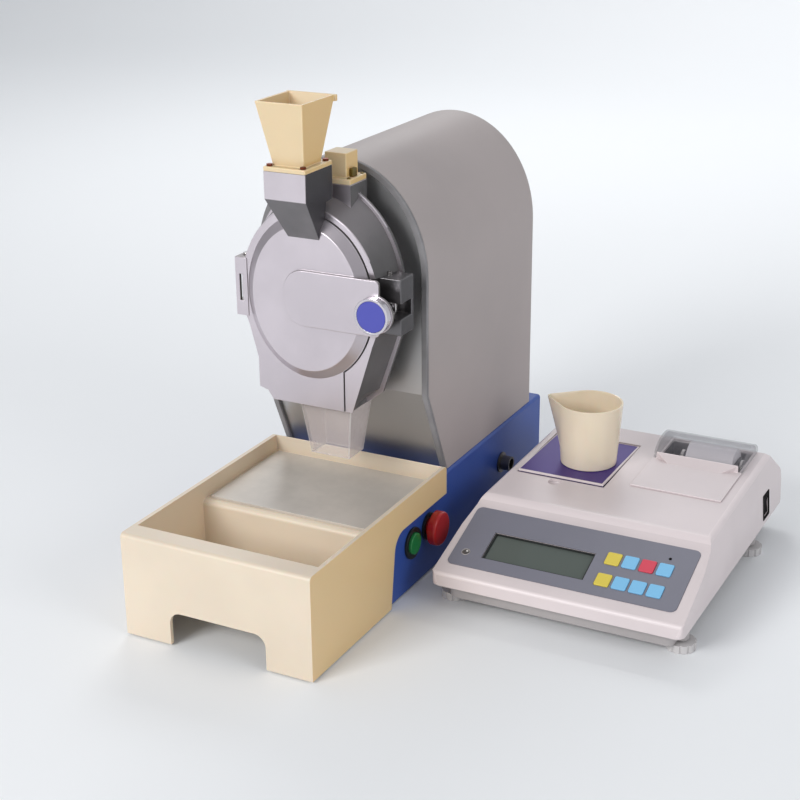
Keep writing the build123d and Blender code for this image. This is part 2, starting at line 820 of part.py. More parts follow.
def feed_chute():
    body = chute_outline(0, chute_top_z) - chute_outline(chute_wall, chute_top_z + through)
    outside = chute_outline(0, chute_top_z)
    for x, y in screw_spots():
        body += cyl_z(x, y, chute_top_z - screw_boss_h, chute_top_z, screw_boss_r) & outside
        body -= cyl_z(x, y, chute_top_z - screw_l, chute_top_z + through, screw_r + run_fit)
    opening = box(feed_x0, feed_x1, disc_front_y - through, door_y + through,
                  spout_z + chute_wall, feed_front_z + feed_h)
    return body - door() - opening


def funnel(inset):
    """The hopper's outside, or its inside if an inset is given."""
    half = throat_w / 2 - inset
    middle = (chute_x0 + chute_x1) / 2
    top_half = (chute_x1 - chute_x0) / 2 + mouth_out - inset
    z0, z1 = chute_top_z + hopper_flange_t, mouth_z
    low = Pos(middle, (throat_y0 + throat_y1) / 2) * Rectangle(2 * half, throat_y1 - throat_y0 - 2 * inset)
    high = Pos(middle, (mouth_y0 + mouth_y1) / 2) * Rectangle(2 * top_half, mouth_y1 - mouth_y0 - 2 * inset)
    return loft([Plane((0, 0, z0)) * low.face(), Plane((0, 0, z1)) * high.face()], ruled=True)


def hopper():
    z0 = chute_top_z + hopper_flange_t
    body = funnel(0) + box(chute_x0, chute_x1, chute_y0, chute_y1, chute_top_z, z0)
    out = mouth_out + mouth_rim_out
    body += box(chute_x0 - out, chute_x1 + out, mouth_y1 - mouth_rim_out, mouth_y1 + mouth_rim_out,
                mouth_z - mouth_rim_h, mouth_z)
    body -= funnel(hopper_wall)
    half = throat_w / 2 - hopper_wall
    middle = (chute_x0 + chute_x1) / 2
    body -= box(middle - half, middle + half, throat_y0 + hopper_wall, throat_y1 - hopper_wall,
                chute_top_z - through, z0 + overcut)
    for x, y in screw_spots():
        body -= cyl_z(x, y, chute_top_z - through, z0 + through, screw_r + run_fit)
    return body


def hopper_screws():
    z = chute_top_z + hopper_flange_t
    low = chute_top_z - screw_l + slip
    return [cyl_z(x, y, low, z, screw_r) + cyl_z(x, y, z, z + screw_head_h, screw_head_r)
            for x, y in screw_spots()]


# Interlock cover and clear outlet chute
def interlock_cover():
    body = box(lug_x0, lug_x1, lug_y0, lug_y1, lug_top_z, lug_top_z + lug_flange_t)
    body += box(lock_box_x0, lock_box_x1, lock_box_y0, lock_box_y1, lug_top_z, lock_box_top_z)
    w = lock_box_wall
    return body - box(lock_box_x0 + w, lock_box_x1 - w, lock_box_y0 + w, lock_box_y1 - w,
                      lug_top_z - through, lock_box_top_z - w)


def outlet_form(inset):
    middle = ((outlet_x0 + outlet_x1) / 2, (outlet_y0 + outlet_y1) / 2)
    w, l = outlet_x1 - outlet_x0 - 2 * inset, outlet_y1 - outlet_y0 - 2 * inset
    high = Pos(*middle) * Rectangle(w, l)
    low = Pos(*middle) * Rectangle(w - 2 * outlet_taper, l - 2 * outlet_taper)
    return loft([Plane((0, 0, outlet_low_z)) * low.face(), Plane((0, 0, outlet_top_z)) * high.face()],
                ruled=True)


def outlet_chute():
    return outlet_form(0) - outlet_form(outlet_wall)


# Rotor, spindle and drive
def rotor_hub():
    y1 = rotor_y0 + rotor_w
    body = cyl_y(mill_x, axis_z, rotor_y0, y1, hub_r)
    body += cyl_y(mill_x, axis_z, rotor_y0, rotor_y0 + disc_t, rotor_r)
    body += cyl_y(mill_x, axis_z, y1 - disc_t, y1, rotor_r)
    return body - cyl_y(mill_x, axis_z, 0, y1 + through, spindle_r + run_fit)


def beater_bars():
    outer = rotor_r - beater_inset
    bar = box(outer - beater_w, outer, rotor_y0 + disc_t, rotor_y0 + rotor_w - disc_t,
              -beater_w / 2, beater_w / 2)
    return [Pos(mill_x, 0, axis_z) * Rot(0, n * 360 / beater_count, 0) * bar for n in range(beater_count)]


def spindle_shaft():
    return cyl_y(mill_x, axis_z, rotor_y0, spindle_end_y, spindle_r)


def bearing_starts():
    return (tube_y0 + pulley_rim_w, tube_end_y - pulley_rim_w - bearing_w)


def spindle_housing():
    body = cyl_y(mill_x, axis_z, tube_y0, tube_end_y, tube_r)
    y1 = pedestal_y + pedestal_t
    left, right = mill_x - pedestal_half_w, mill_x + pedestal_half_w
    body += box(left, right, pedestal_y, y1, base_top_z, pedestal_top_z)
    body += box(left, right, pedestal_y, pedestal_y + pedestal_foot_l, base_top_z, base_top_z + pedestal_t)
    foot_z = base_top_z + pedestal_t
    gusset = polygon((y1, foot_z), (pedestal_y + pedestal_foot_l, foot_z), (y1, foot_z + gusset_h))
    for x in (mill_x - gusset_x, mill_x + gusset_x):
        body += prism_yz(gusset, x - gusset_t / 2, x + gusset_t / 2)
    body -= cyl_y(mill_x, axis_z, tube_y0 - through, tube_end_y + through, tube_bore_r)
    first, last = bearing_starts()
    body -= cyl_y(mill_x, axis_z, tube_y0 - through, first + bearing_w, bearing_r + run_fit)
    body -= cyl_y(mill_x, axis_z, last, tube_end_y + through, bearing_r + run_fit)
    return body


def spindle_bearings():
    return [ring_xz(mill_x, axis_z, y, y + bearing_w, bearing_r, spindle_r + run_fit)
            for y in bearing_starts()]


def pulley(z, r):
    y1 = pulley_y0 + pulley_w
    body = cyl_y(mill_x, z, pulley_y0, y1, r)
    body += cyl_y(mill_x, z, pulley_y0, pulley_y0 + pulley_rim_w, r + pulley_rim)
    return body + cyl_y(mill_x, z, y1 - pulley_rim_w, y1, r + pulley_rim)


def spindle_pulley():
    bore = cyl_y(mill_x, axis_z, 0, spindle_end_y + pulley_w, spindle_r + run_fit)
    return pulley(axis_z, spindle_pulley_r) - bore


def motor_pulley():
    return pulley(motor_z, motor_pulley_r) + cyl_y(
        mill_x, motor_z, pulley_y0, motor_y0 + motor_shaft_l, motor_shaft_r)


def belt_loop(grow):
    """The tight loop round both pulleys, at a distance from them."""
    small, large = spindle_pulley_r + grow, motor_pulley_r + grow
    lean = (large - small) / (axis_z - motor_z)
    side = sqrt(1 - lean * lean)
    loop = polygon((mill_x - small * side, axis_z + small * lean),
                   (mill_x + small * side, axis_z + small * lean),
                   (mill_x + large * side, motor_z + large * lean),
                   (mill_x - large * side, motor_z + large * lean))
    return loop + Pos(mill_x, axis_z) * Circle(small) + Pos(mill_x, motor_z) * Circle(large)


def drive_belt():
    y0 = pulley_y0 + pulley_rim_w + slip
    y1 = pulley_y0 + pulley_w - pulley_rim_w - slip
    body = prism_xz(belt_loop(slip + belt_t), y0, y1)
    return body - prism_xz(belt_loop(slip), y0 - through, y1 + through)


def motor():
    body = cyl_y(mill_x, motor_z, motor_y0, motor_y1, motor_r)
    fin = box(motor_r - fin_h, motor_r + fin_h, motor_foot_y0, motor_foot_y0 + motor_foot_l,
              -fin_w / 2, fin_w / 2)
    for n in range(fin_count):
        turn = n * 360 / fin_count
        if abs(turn - 90) >= fin_free:
            body += Pos(mill_x, 0, motor_z) * Rot(0, turn, 0) * fin
    foot = box(mill_x - motor_foot_half_w, mill_x + motor_foot_half_w, motor_foot_y0,
               motor_foot_y0 + motor_foot_l, base_top_z, motor_z - motor_r / 2)
    body += foot
    return body - cyl_y(mill_x, motor_z, 0, motor_y0 + motor_shaft_l + seam, motor_shaft_r + run_fit)


# Buttons and fittings of the base
def start_button():
    face = base_x1 + bezel_t + start_out
    body = cyl_x(base_x1 - bezel_t, face, start_y, start_z, start_r)
    return body + cyl_x(base_x1 - bezel_t - button_stem_l, face, start_y, start_z, button_stem_r)


def stop_button():
    neck_end = base_x1 + stop_neck_l
    head_end = neck_end + stop_head_t
    body = cyl_x(base_x1 - bezel_t, neck_end, stop_y, stop_z, stop_neck_r)
    body += cyl_x(neck_end, head_end, stop_y, stop_z, stop_r)
    rim = body.faces().sort_by(Axis.X)[-1].edges()
    body = fillet(rim, stop_head_t / 3)
    return body + cyl_x(base_x1 - bezel_t - button_stem_l, neck_end, stop_y, stop_z, button_stem_r)


def button_body(y, z, r, travel):
    bore = r + slip
    body = cyl_x(base_x1, base_x1 + bezel_t, y, z, r + 2 * bezel_rim)
    body += cyl_x(base_x1 - sheet - barrel_depth, base_x1, y, z, r + bezel_rim - slip)
    end = base_x1 - sheet - barrel_depth
    body += box(end - contact_l, end, y - contact_w / 2, y + contact_w / 2,
                z - contact_h / 2, z + contact_h / 2)
    body -= cyl_x(base_x1 - bezel_t - travel - seam, base_x1 + bezel_t + through, y, z, bore)
    return body - cyl_x(end - button_stem_l, base_x1, y, z, button_stem_r + slip)


def button_bodies():
    return [button_body(start_y, start_z, start_r, start_travel),
            button_body(stop_y, stop_z, stop_neck_r, stop_travel)]


def side_connector():
    flange_end = base_x1 + socket_flange_t
    body = cyl_x(base_x1, flange_end, socket_y, socket_z, socket_flange_r)
    body += cyl_x(base_x1 - sheet - barrel_depth, base_x1 + socket_l, socket_y, socket_z, socket_r - slip)
    body -= cyl_x(flange_end, base_x1 + socket_l + through, socket_y, socket_z, socket_bore_r)
    for n in range(socket_pins):
        turn = radians(n * 360 / socket_pins)
        y = socket_y + socket_bore_r / 2 * cos(turn)
        z = socket_z + socket_bore_r / 2 * sin(turn)
        body += cyl_x(flange_end - through, base_x1 + socket_l / 2, y, z, socket_pin_r)
    return body


def mains_inlet():
    y1 = base_rear_y + inlet_flange_t
    body = box(inlet_x - inlet_w / 2, inlet_x + inlet_w / 2, base_rear_y, y1,
               inlet_z - inlet_h / 2, inlet_z + inlet_h / 2)
    half_w, half_h = inlet_hole_w / 2, inlet_hole_h / 2
    body += box(inlet_x - half_w, inlet_x + half_w, base_rear_y - inlet_body_l, base_rear_y,
                inlet_z - half_h, inlet_z + half_h)
    w = lock_box_wall
    body -= box(inlet_x - half_w + w, inlet_x + half_w - w, base_rear_y - inlet_body_l + w,
                y1 + through, inlet_z - half_h + w, inlet_z + half_h - w)
    for x in (inlet_x - half_w / 2, inlet_x, inlet_x + half_w / 2):
        body += box(x - w / 2, x + w / 2, base_rear_y - inlet_body_l + w, base_rear_y - w,
                    inlet_z - w, inlet_z + w)
    return body


# Weighing unit, housing
def deck_z(y):
    return deck_front_z + (y - deck_front_y) * (deck_rear_z - deck_front_z) / (deck_rear_y - deck_front_y)


def slope_z(y):
    return panel_low_z + (y - panel_low_y) * panel_slope


def unit_sides(inset):
    low_y, high_y = panel_low_y - panel_over, panel_high_y + panel_over / 2
    side = polygon((unit_y0, unit_low_z), (unit_y0 + nose_back, nose_z), (low_y, slope_z(low_y)),
                   (high_y, slope_z(high_y)), (step_y, step_z), (deck_front_y, deck_front_z),
                   (deck_rear_y, deck_rear_z), (rear_bend_y, rear_bend_z), (unit_y1, unit_low_z))
    high = deck_rear_z + through
    section = polygon((unit_x0, unit_low_z), (unit_x0 + side_lean, side_bend_z),
                      (unit_x0 + deck_inset, high), (unit_x1 - deck_inset, high),
                      (unit_x1 - side_lean, side_bend_z), (unit_x1, unit_low_z))
    if inset:
        side = offset(side, -inset, kind=Kind.INTERSECTION)
        section = offset(section, -inset, kind=Kind.INTERSECTION)
        side += polygon((unit_y0 + inset, unit_low_z - through), (unit_y1 - inset, unit_low_z - through),
                        (unit_y1 - inset, unit_low_z + 2 * inset), (unit_y0 + inset, unit_low_z + 2 * inset))
        section += polygon((unit_x0 + inset, unit_low_z - through), (unit_x1 - inset, unit_low_z - through),
                           (unit_x1 - inset, unit_low_z + 2 * inset),
                           (unit_x0 + inset, unit_low_z + 2 * inset))
    plan_r = unit_corner_r - inset
    plan = Pos((unit_x0 + unit_x1) / 2, (unit_y0 + unit_y1) / 2) * RectangleRounded(
        unit_w - 2 * inset, unit_y1 - unit_y0 - 2 * inset, plan_r)
    body = prism_yz(side, unit_x0, unit_x1) & prism_xz(section, unit_y0, unit_y1)
    return body & extrude(plan, amount=high)


def panel_box(u0, u1, v0, v1, w0, w1):
    """A box on the sloping panel: u to the right, v up the slope, w out of it."""
    face = Plane((overlay_x0, panel_low_y, panel_low_z), x_dir=(1, 0, 0),
                 z_dir=(0, -sin(radians(panel_angle)), cos(radians(panel_angle))))
    return face * Pos((u0 + u1) / 2, (v0 + v1) / 2, (w0 + w1) / 2) * Box(u1 - u0, v1 - v0, w1 - w0)


def panel_pad(u, v, w, l, r, w0, w1):
    """A pad with rounded corners on the sloping panel."""
    face = Plane((overlay_x0, panel_low_y, panel_low_z), x_dir=(1, 0, 0),
                 z_dir=(0, -sin(radians(panel_angle)), cos(radians(panel_angle))))
    return face * Pos(0, 0, w0) * extrude(Pos(u, v) * RectangleRounded(w, l, r), amount=w1 - w0)


def key_spots():
    return [(key_first_u + n * key_pitch, v) for v in key_rows for n in range(key_columns)]


def panel_holes(gap):
    holes = [panel_box(lcd_u, lcd_u + lcd_w, lcd_v, lcd_v + lcd_h, -2 * unit_wall, 2 * overlay_t)]
    for u, v in key_spots():
        holes.append(panel_pad(u, v, key_w + 2 * gap, key_h + 2 * gap, key_r + gap,
                               -2 * unit_wall, 2 * overlay_t))
    holes.append(panel_pad(vial_u, vial_v, 2 * vial_r, 2 * vial_r, vial_r - run_fit,
                           -vial_depth, 2 * overlay_t))
    return holes


def panel_overlay():
    body = panel_pad(overlay_w / 2, panel_l / 2, overlay_w, panel_l, overlay_r,
                     -overlay_sink, overlay_t - overlay_sink)
    return body - panel_holes(slip)


def lcd_window():
    m = lcd_margin
    return panel_box(lcd_u - m, lcd_u + lcd_w + m, lcd_v - m, lcd_v + lcd_h + m,
                     -unit_wall - lcd_t, -unit_wall)


def key(u, v):
    return panel_pad(u, v, key_w, key_h, key_r, key_top_w - key_t, key_top_w)


def rocker_frame_body():
    half_l, half_h = rocker_l / 2 + slip, rocker_h / 2 + slip
    inner = box(unit_x1 - 4 * unit_wall, unit_x1 + through, rocker_y - half_l, rocker_y + half_l,
                rocker_z - half_h, rocker_z + half_h)
    f = rocker_frame
    outer = box(unit_x1 - 4 * unit_wall, unit_x1, rocker_y - half_l - f, rocker_y + half_l + f,
                rocker_z - half_h - f, rocker_z + half_h + f)
    return outer, inner


def balance_housing():
    body = unit_sides(0) - unit_sides(unit_wall)
    pocket = panel_pad(overlay_w / 2, panel_l / 2, overlay_w + 2 * slip, panel_l + 2 * slip,
                       overlay_r + slip, -overlay_sink, 2 * overlay_t)
    body -= pocket
    body -= panel_holes(slip)
    body -= box(pan_x0 - pan_gap, pan_x0 + pan_w + pan_gap, pan_y0 - pan_gap, pan_y0 + pan_l + pan_gap,
                side_bend_z, deck_rear_z + through)
    body -= cyl_z(notch_x, notch_y, deck_front_z - unit_wall / 2, deck_rear_z + through, notch_r)
    body -= box(bay_x0 + bay_ledge, bay_x0 + bay_w - bay_ledge, bay_y0 + bay_ledge, cover_y1 - bay_ledge,
                side_bend_z, deck_rear_z + through)
    outer, inner = rocker_frame_body()
    pivot = cyl_y(unit_x1 - 2 * unit_wall, rocker_z, rocker_y - rocker_l, rocker_y + rocker_l,
                  rocker_pivot_r + run_fit)
    return body + (outer & unit_sides(0)) - inner - pivot


def power_rocker():
    half_l, half_h = rocker_l / 2, rocker_h / 2
    depth = unit_x1 - 2 * unit_wall
    face = unit_x1 - side_lean * (rocker_z - unit_low_z) / (side_bend_z - unit_low_z)
    body = box(depth, face, rocker_y - half_l, rocker_y + half_l, rocker_z - half_h, rocker_z + half_h)
    body &= cyl_y(depth, rocker_z, rocker_y - half_l, rocker_y + half_l, half_h)
    body += cyl_y(depth, rocker_z, rocker_y - half_l, rocker_y + half_l, 2 * rocker_pivot_r)
    lean = tan(radians(rocker_tilt))
    reach = half_h + through / lean
    body -= prism_xz(polygon((face + through, rocker_z + reach), (face - half_h * lean, rocker_z),
                             (face + through, rocker_z - reach)), 0, unit_y1)
    return body + cyl_y(depth, rocker_z, rocker_y - half_l - rocker_frame,
                        rocker_y + half_l + rocker_frame, rocker_pivot_r)


def balance_base():
    edge = unit_wall + slip
    plan = Pos((unit_x0 + unit_x1) / 2, (unit_y0 + unit_y1) / 2)
    rim = plan * RectangleRounded(unit_w - 2 * edge, unit_y1 - unit_y0 - 2 * edge, unit_corner_r - edge)
    body = Pos(0, 0, unit_low_z - tub_flange_t) * extrude(rim, amount=tub_flange_t)
    inset = tub_inset
    tub = plan * RectangleRounded(unit_w - 2 * inset, unit_y1 - unit_y0 - 2 * inset, unit_corner_r)
    body += Pos(0, 0, tub_low_z) * extrude(tub, amount=unit_low_z - tub_low_z)
    inset += unit_wall
    inner = plan * RectangleRounded(unit_w - 2 * inset, unit_y1 - unit_y0 - 2 * inset,
                                    unit_corner_r - unit_wall)
    body -= Pos(0, 0, tub_low_z + unit_wall) * extrude(inner, amount=unit_low_z)
    for x, y in level_spots():
        body += cyl_z(x, y, tub_low_z, unit_low_z, level_boss_r)
        body -= cyl_z(x, y, 0, level_stud_top + slip, level_stud_r + slip)
    middle = pan_x0 + pan_w / 2
    return body + box(middle - load_cell_w / 2, middle + load_cell_w / 2, pan_y0, pan_y0 + load_cell_foot_l,
                      tub_low_z, load_cell_z0)


def level_spots():
    return [(x, y) for y in (level_front_y, level_rear_y)
            for x in (unit_x0 + level_foot_inset, unit_x1 - level_foot_inset)]


def level_foot(x, y):
    body = cyl_z(x, y, 0, level_foot_h, level_foot_r)
    for n in range(level_flutes):
        turn = radians((n + 0.5) * 360 / level_flutes)
        body -= cyl_z(x + level_foot_r * cos(turn), y + level_foot_r * sin(turn), -through,
                      level_foot_h + through, level_foot_r / level_flutes)
    return body + cyl_z(x, y, level_foot_h - through, level_stud_top, level_stud_r)


# Weighing unit, pan, load cell and cup
def weigh_pan():
    body = box(pan_x0, pan_x0 + pan_w, pan_y0, pan_y0 + pan_l, pan_top_z - pan_t, pan_top_z)
    y = pan_y0 + load_cell_l - load_cell_foot_l / 2
    return body + cyl_z(pan_x0 + pan_w / 2, y, load_cell_z0 + load_cell_h, pan_top_z - pan_t / 2, post_r)


def load_cell():
    middle = pan_x0 + pan_w / 2
    body = box(middle - load_cell_w / 2, middle + load_cell_w / 2, pan_y0, pan_y0 + load_cell_l,
               load_cell_z0, load_cell_z0 + load_cell_h)
    z = load_cell_z0 + load_cell_h / 2
    centre = pan_y0 + load_cell_l / 2
    for y in (centre - load_cell_foot_l / 2, centre + load_cell_foot_l / 2):
        body -= cyl_x(0, unit_x1, y, z, load_cell_slot)
    return body - box(0, unit_x1, centre - load_cell_foot_l / 2, centre + load_cell_foot_l / 2,
                      z - load_cell_slot / 2, z + load_cell_slot / 2)


def cup_form(inset, z0, z1):
    """The cup's outside, or its inside if an inset is given, between two heights."""
    r0, r1 = cup_base_r - inset, cup_rim_r - inset
    low = Plane((cup_x, cup_y, z0)) * Circle(r0)
    high = Plane((cup_x, cup_y, z1)) * Circle(r1)
    cone = loft([low.face(), high.face()], ruled=True)

    def beak(z, r, out):
        tip = polygon((-r - out, 0), (-beak_x * r, -beak_y * r), (-beak_x * r, beak_y * r))
        return Plane((cup_x, cup_y, z)) * tip

    z = z0 + (z1 - z0) / 4
    return cone + loft([beak(z, r0 + (r1 - r0) / 4, through), beak(z1, r1, cup_spout)], ruled=True)


def weigh_cup():
    rim_z = pan_top_z + cup_h
    body = cup_form(0, pan_top_z, rim_z)
    return body - cup_form(cup_wall, pan_top_z + cup_wall, rim_z + overcut)


# Weighing unit, printer
def above_deck(y0, y1, lift, rise):
    return polygon((y0, deck_z(y0) + lift), (y1, deck_z(y1) + lift), (y1, deck_z(y1) + lift + rise),
                   (y0, deck_z(y0) + lift + rise))


def printer_lid():
    body = prism_yz(above_deck(bay_y0, lid_y1, 0, lid_t), bay_x0, bay_x0 + bay_w)
    lip = above_deck(lid_y1 - lip_t, lid_y1, 0, lid_t + lip_h)
    return body + prism_yz(lip, bay_x0 + bay_ledge, bay_x0 + bay_w - bay_ledge)


def cover_form(inset):
    y0, y1 = cover_y0 + inset, cover_y1 - inset
    middle = (y0 + y1) / 2
    face = Pos(middle, deck_z(middle)) * Ellipse((y1 - y0) / 2, cover_rise - inset)
    return prism_yz(face, bay_x0 + inset, bay_x0 + bay_w - inset)


def cover_axis():
    """Y and Z of the cover's hinge line."""
    return cover_y1 - cover_rod_r, deck_z(cover_y1) + slip + cover_rod_r


def printer_cover():
    y, z = cover_axis()
    body = cover_form(0) - cover_form(cover_t)
    body &= prism_yz(above_deck(0, unit_y1, slip, mouth_z), 0, unit_x1)
    body -= box(0, unit_x1, y - cover_rod_r, unit_y1, 0, z)
    return body + cyl_x(bay_x0 + cover_t / 2, bay_x0 + bay_w - cover_t / 2, y, z, cover_rod_r)


def printer_mechanism():
    y0, y1 = bay_y0 + bay_ledge, cover_y1 - bay_ledge
    left, right = bay_x0 + bay_ledge, bay_x0 + bay_w - bay_ledge
    body = box(left - rail_w, right + rail_w, y0, y1, mech_low_z, mech_low_z + mech_floor_t)
    for x in (left - rail_w, right):
        body += box(x, x + rail_w, y0, y1, mech_low_z, deck_rear_z)
    body += box(roll_x - head_half_w, roll_x + head_half_w, head_y0, head_y1, mech_low_z,
                deck_z(head_y0) - unit_wall)
    for x in (roll_x - roll_w / 2 - slip - cheek_t, roll_x + roll_w / 2 + slip):
        body += box(x, x + cheek_t, roll_y - cheek_h, roll_y + cheek_h, mech_low_z, roll_z + cheek_h / 2)
    body += cyl_x(roll_x - roll_w / 2 - cheek_t, roll_x + roll_w / 2 + cheek_t, roll_y, roll_z,
                  roll_core_r - run_fit)
    under = unit_wall + run_fit
    below = polygon((0, 0), (base_rear_y, 0), (base_rear_y, deck_z(base_rear_y) - under),
                    (0, deck_z(0) - under))
    rails = body & prism_yz(below, 0, unit_x1)
    return rails + (body & box(roll_x - head_half_w - cheek_t, roll_x + head_half_w + cheek_t,
                               head_y1, y1, mech_low_z, mouth_z))


def paper_roll():
    body = cyl_x(roll_x - roll_w / 2, roll_x + roll_w / 2, roll_y, roll_z, roll_r)
    return body - cyl_x(0, unit_x1, roll_y, roll_z, roll_core_r)


def write(name, shape):
    """Move a sub-part to the shared origin and write it."""
    solids = []
    for piece in shape if isinstance(shape, list) else [shape]:
        solids.extend(piece.solids())
    moved = [Pos(-origin_x, -origin_y, 0) * solid for solid in solids]
    whole = moved[0] if len(moved) == 1 else Compound(children=moved)
    export_step(whole, "parts/" + name + ".step")


PARTS = (base_shell, base_plate, mill_feet, tray_cover, tray_plate, hood, front_panel, hood_edging,
         rear_panel, chamber_housing, sieve_ring, rotor_hub, beater_bars, spindle_shaft, spindle_housing,
         spindle_bearings, spindle_pulley, drive_belt, motor, motor_pulley, door, hinge_pin, feed_chute,
         hopper, hopper_screws, lock_knob, lock_knob_cap, latch_bracket, latch_trunnion, interlock_cover,
         outlet_chute, start_button, stop_button, button_bodies, side_connector, mains_inlet,
         balance_housing, balance_base, panel_overlay, lcd_window, weigh_pan, load_cell, weigh_cup,
         printer_lid, printer_cover, printer_mechanism, paper_roll, power_rocker)

for make in PARTS:
    write(make.__name__, make())

for number, (foot_x, foot_y) in enumerate(level_spots(), 1):
    write("level_foot_%d" % number, level_foot(foot_x, foot_y))

for number, (key_u, key_v) in enumerate(key_spots(), 1):
    write("key_%d" % number, key(key_u, key_v))
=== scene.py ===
"""Finishes and small pieces of the grain hardness tester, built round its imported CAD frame.

Places are in millimetres in the bench frame of the CAD source: X to the right from the mill's left side,
Y to the back from the tray's front face, Z up from the bench. The sizes and colours of the PropertyGroups
are in metres and scene-linear colour.
"""

import json
from math import acos, atan2, cos, hypot, pi, radians, sin

import bmesh
import bpy
from mathutils import Matrix, Vector

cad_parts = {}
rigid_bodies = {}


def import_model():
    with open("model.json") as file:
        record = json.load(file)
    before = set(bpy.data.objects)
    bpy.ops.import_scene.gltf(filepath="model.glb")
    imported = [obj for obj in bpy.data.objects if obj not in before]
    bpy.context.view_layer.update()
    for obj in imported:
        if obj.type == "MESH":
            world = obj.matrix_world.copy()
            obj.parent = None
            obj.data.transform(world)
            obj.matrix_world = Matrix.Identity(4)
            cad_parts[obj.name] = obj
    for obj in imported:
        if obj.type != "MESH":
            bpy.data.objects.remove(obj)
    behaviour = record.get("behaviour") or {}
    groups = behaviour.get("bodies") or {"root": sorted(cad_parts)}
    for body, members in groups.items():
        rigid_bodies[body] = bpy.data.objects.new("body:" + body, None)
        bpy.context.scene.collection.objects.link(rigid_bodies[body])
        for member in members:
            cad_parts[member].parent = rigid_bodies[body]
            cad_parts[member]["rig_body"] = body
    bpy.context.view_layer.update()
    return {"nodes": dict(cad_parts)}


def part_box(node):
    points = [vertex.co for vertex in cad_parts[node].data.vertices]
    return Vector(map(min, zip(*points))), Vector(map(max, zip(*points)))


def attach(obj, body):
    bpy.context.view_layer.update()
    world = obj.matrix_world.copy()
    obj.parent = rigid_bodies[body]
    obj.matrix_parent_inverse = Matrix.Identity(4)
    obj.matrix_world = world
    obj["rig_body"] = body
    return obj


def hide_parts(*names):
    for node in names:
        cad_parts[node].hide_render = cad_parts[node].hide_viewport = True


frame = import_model()

bl_info = {
    "name": "Grain Hardness Tester",
    "version": (1, 0, 0),
    "blender": (4, 5, 0),
    "location": "View3D > Sidebar > Tester",
    "description": "Builds the finishes and small pieces of a grain hardness tester round its CAD frame",
    "category": "Object",
}

# The bench frame's origin is the low corner of the tray cover, on the floor
BENCH = Vector((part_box("tray_cover")[0].x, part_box("tray_cover")[0].y, 0))
WELD = 1e-6             # metres, within which vertices are one
FLAT = radians(0.5)     # faces that meet at less are one flat face
STUB = 0.5              # edges shorter than this share of a radius are closed up
SHARP = radians(28)     # edges that turn by less aren't rounded
SMOOTH = radians(34)    # edges that turn by more are shaded as sharp
SLIVER = 4e-8           # square metres, below which a face doesn't join two flat regions

# Places that the CAD source also names
MILL_X = 115.0
AXIS_Z = 335.0
FLANGE_OVAL = (85, 100)
DOOR_OVAL = (77, 92)
PANEL_AT = Vector((275, 216, 50))
PANEL_TILT = atan2(31, 88)
DECK_FRONT_Y, DECK_FRONT_Z = 326, 93
DECK_SLOPE = 7 / 229
THUMB_HOLE = (337.0, 378.0)
CUP_AT = (352, 446)
CUP_FOOT_Z = 97.5
ROLL_Y, ROLL_Z = 522, 91

# Places that only the scene has: two on the sloping panel and the camera's in the bench frame
LEVEL_AT = (15, 21, 0)
LAMP_AT = (233, 73, 0)
CAMERA_AT = (961.1, -1210.3, 848.1)


# Places and meshes

def bench(x, y, z):
    """A point of the bench frame, in metres in the row frame."""
    return Vector((x, y, z)) / 1000 + BENCH


def on_panel(u, v, w):
    """A point of the sloping panel: u to the right, v up the slope, w out of it."""
    y = PANEL_AT.y + v * cos(PANEL_TILT) - w * sin(PANEL_TILT)
    z = PANEL_AT.z + v * sin(PANEL_TILT) + w * cos(PANEL_TILT)
    return bench(PANEL_AT.x + u, y, z)


def deck_z(y):
    """Height of the weighing unit's deck."""
    return DECK_FRONT_Z + (y - DECK_FRONT_Y) * DECK_SLOPE


def side_x(z):
    """The right side of the weighing unit's case, which leans in by 3 mm in 40."""
    return 552 - 3 * (z - 30) / 40


def oval_reach(middle, oval):
    """How far out from the mill's axis a place is, with 1 on the oval with these half axes."""
    return hypot((middle.x - MILL_X) / oval[0], (middle.z - AXIS_Z) / oval[1])


def everywhere(middle, along):
    """A round's test that takes every edge."""
    return True


def rounded_off(mesh, radius, segments, test=everywhere):
    """Round the sharp edges of a mesh whose middle, in the bench frame, and direction pass the test. The
    radius is in metres. The new faces are marked for the finishes' edge wear and painted edge highlights."""
    worn = mesh.faces.layers.float.new("worn")
    close_up(mesh, sharp_edges(mesh, test), STUB * radius)
    for group in groups_of(sharp_edges(mesh, test)):
        made = bmesh.ops.bevel(mesh, geom=group, offset=radius, segments=segments, profile=0.5,
                               affect="EDGES", clamp_overlap=True, loop_slide=True)
        for face in made["faces"]:
            face[worn] = 1.0
    return mesh


def close_up(mesh, edges, limit):
    """Close up the runs of tiny edges that meet the given edges and are shorter in all than the limit, as
    they would hold the rounding back."""
    near = dict.fromkeys(edge for one in edges for v in one.verts for edge in v.link_edges
                         if edge.calc_length() < limit)
    runs = [run for run in groups_of(near) if sum(edge.calc_length() for edge in run) < limit]
    bmesh.ops.collapse(mesh, edges=[edge for run in runs for edge in run])


def groups_of(edges):
    """The edges in groups that hang together, so that a tight spot in one group doesn't hold back others."""
    left, groups = set(edges), []
    for first in edges:
        if first not in left:
            continue
        left.remove(first)
        group = [first]
        for edge in group:
            found = [e for v in edge.verts for e in v.link_edges if e in left]
            left.difference_update(found)
            group.extend(found)
        groups.append(list(dict.fromkeys(group)))
    return groups


def sharp_edges(mesh, test):
    """The sharp edges that pass the test. The housing's inner corners stay as cast."""
    edges = []
    for edge in mesh.edges:
        if len(edge.link_faces) != 2 or edge.calc_face_angle(0) < SHARP:
            continue
        if test is on_housing and not edge.is_convex:
            continue
        a, b = (1000 * (v.co - BENCH) for v in edge.verts)
        if test((a + b) / 2, (b - a).normalized()):
            edges.append(edge)
    return edges


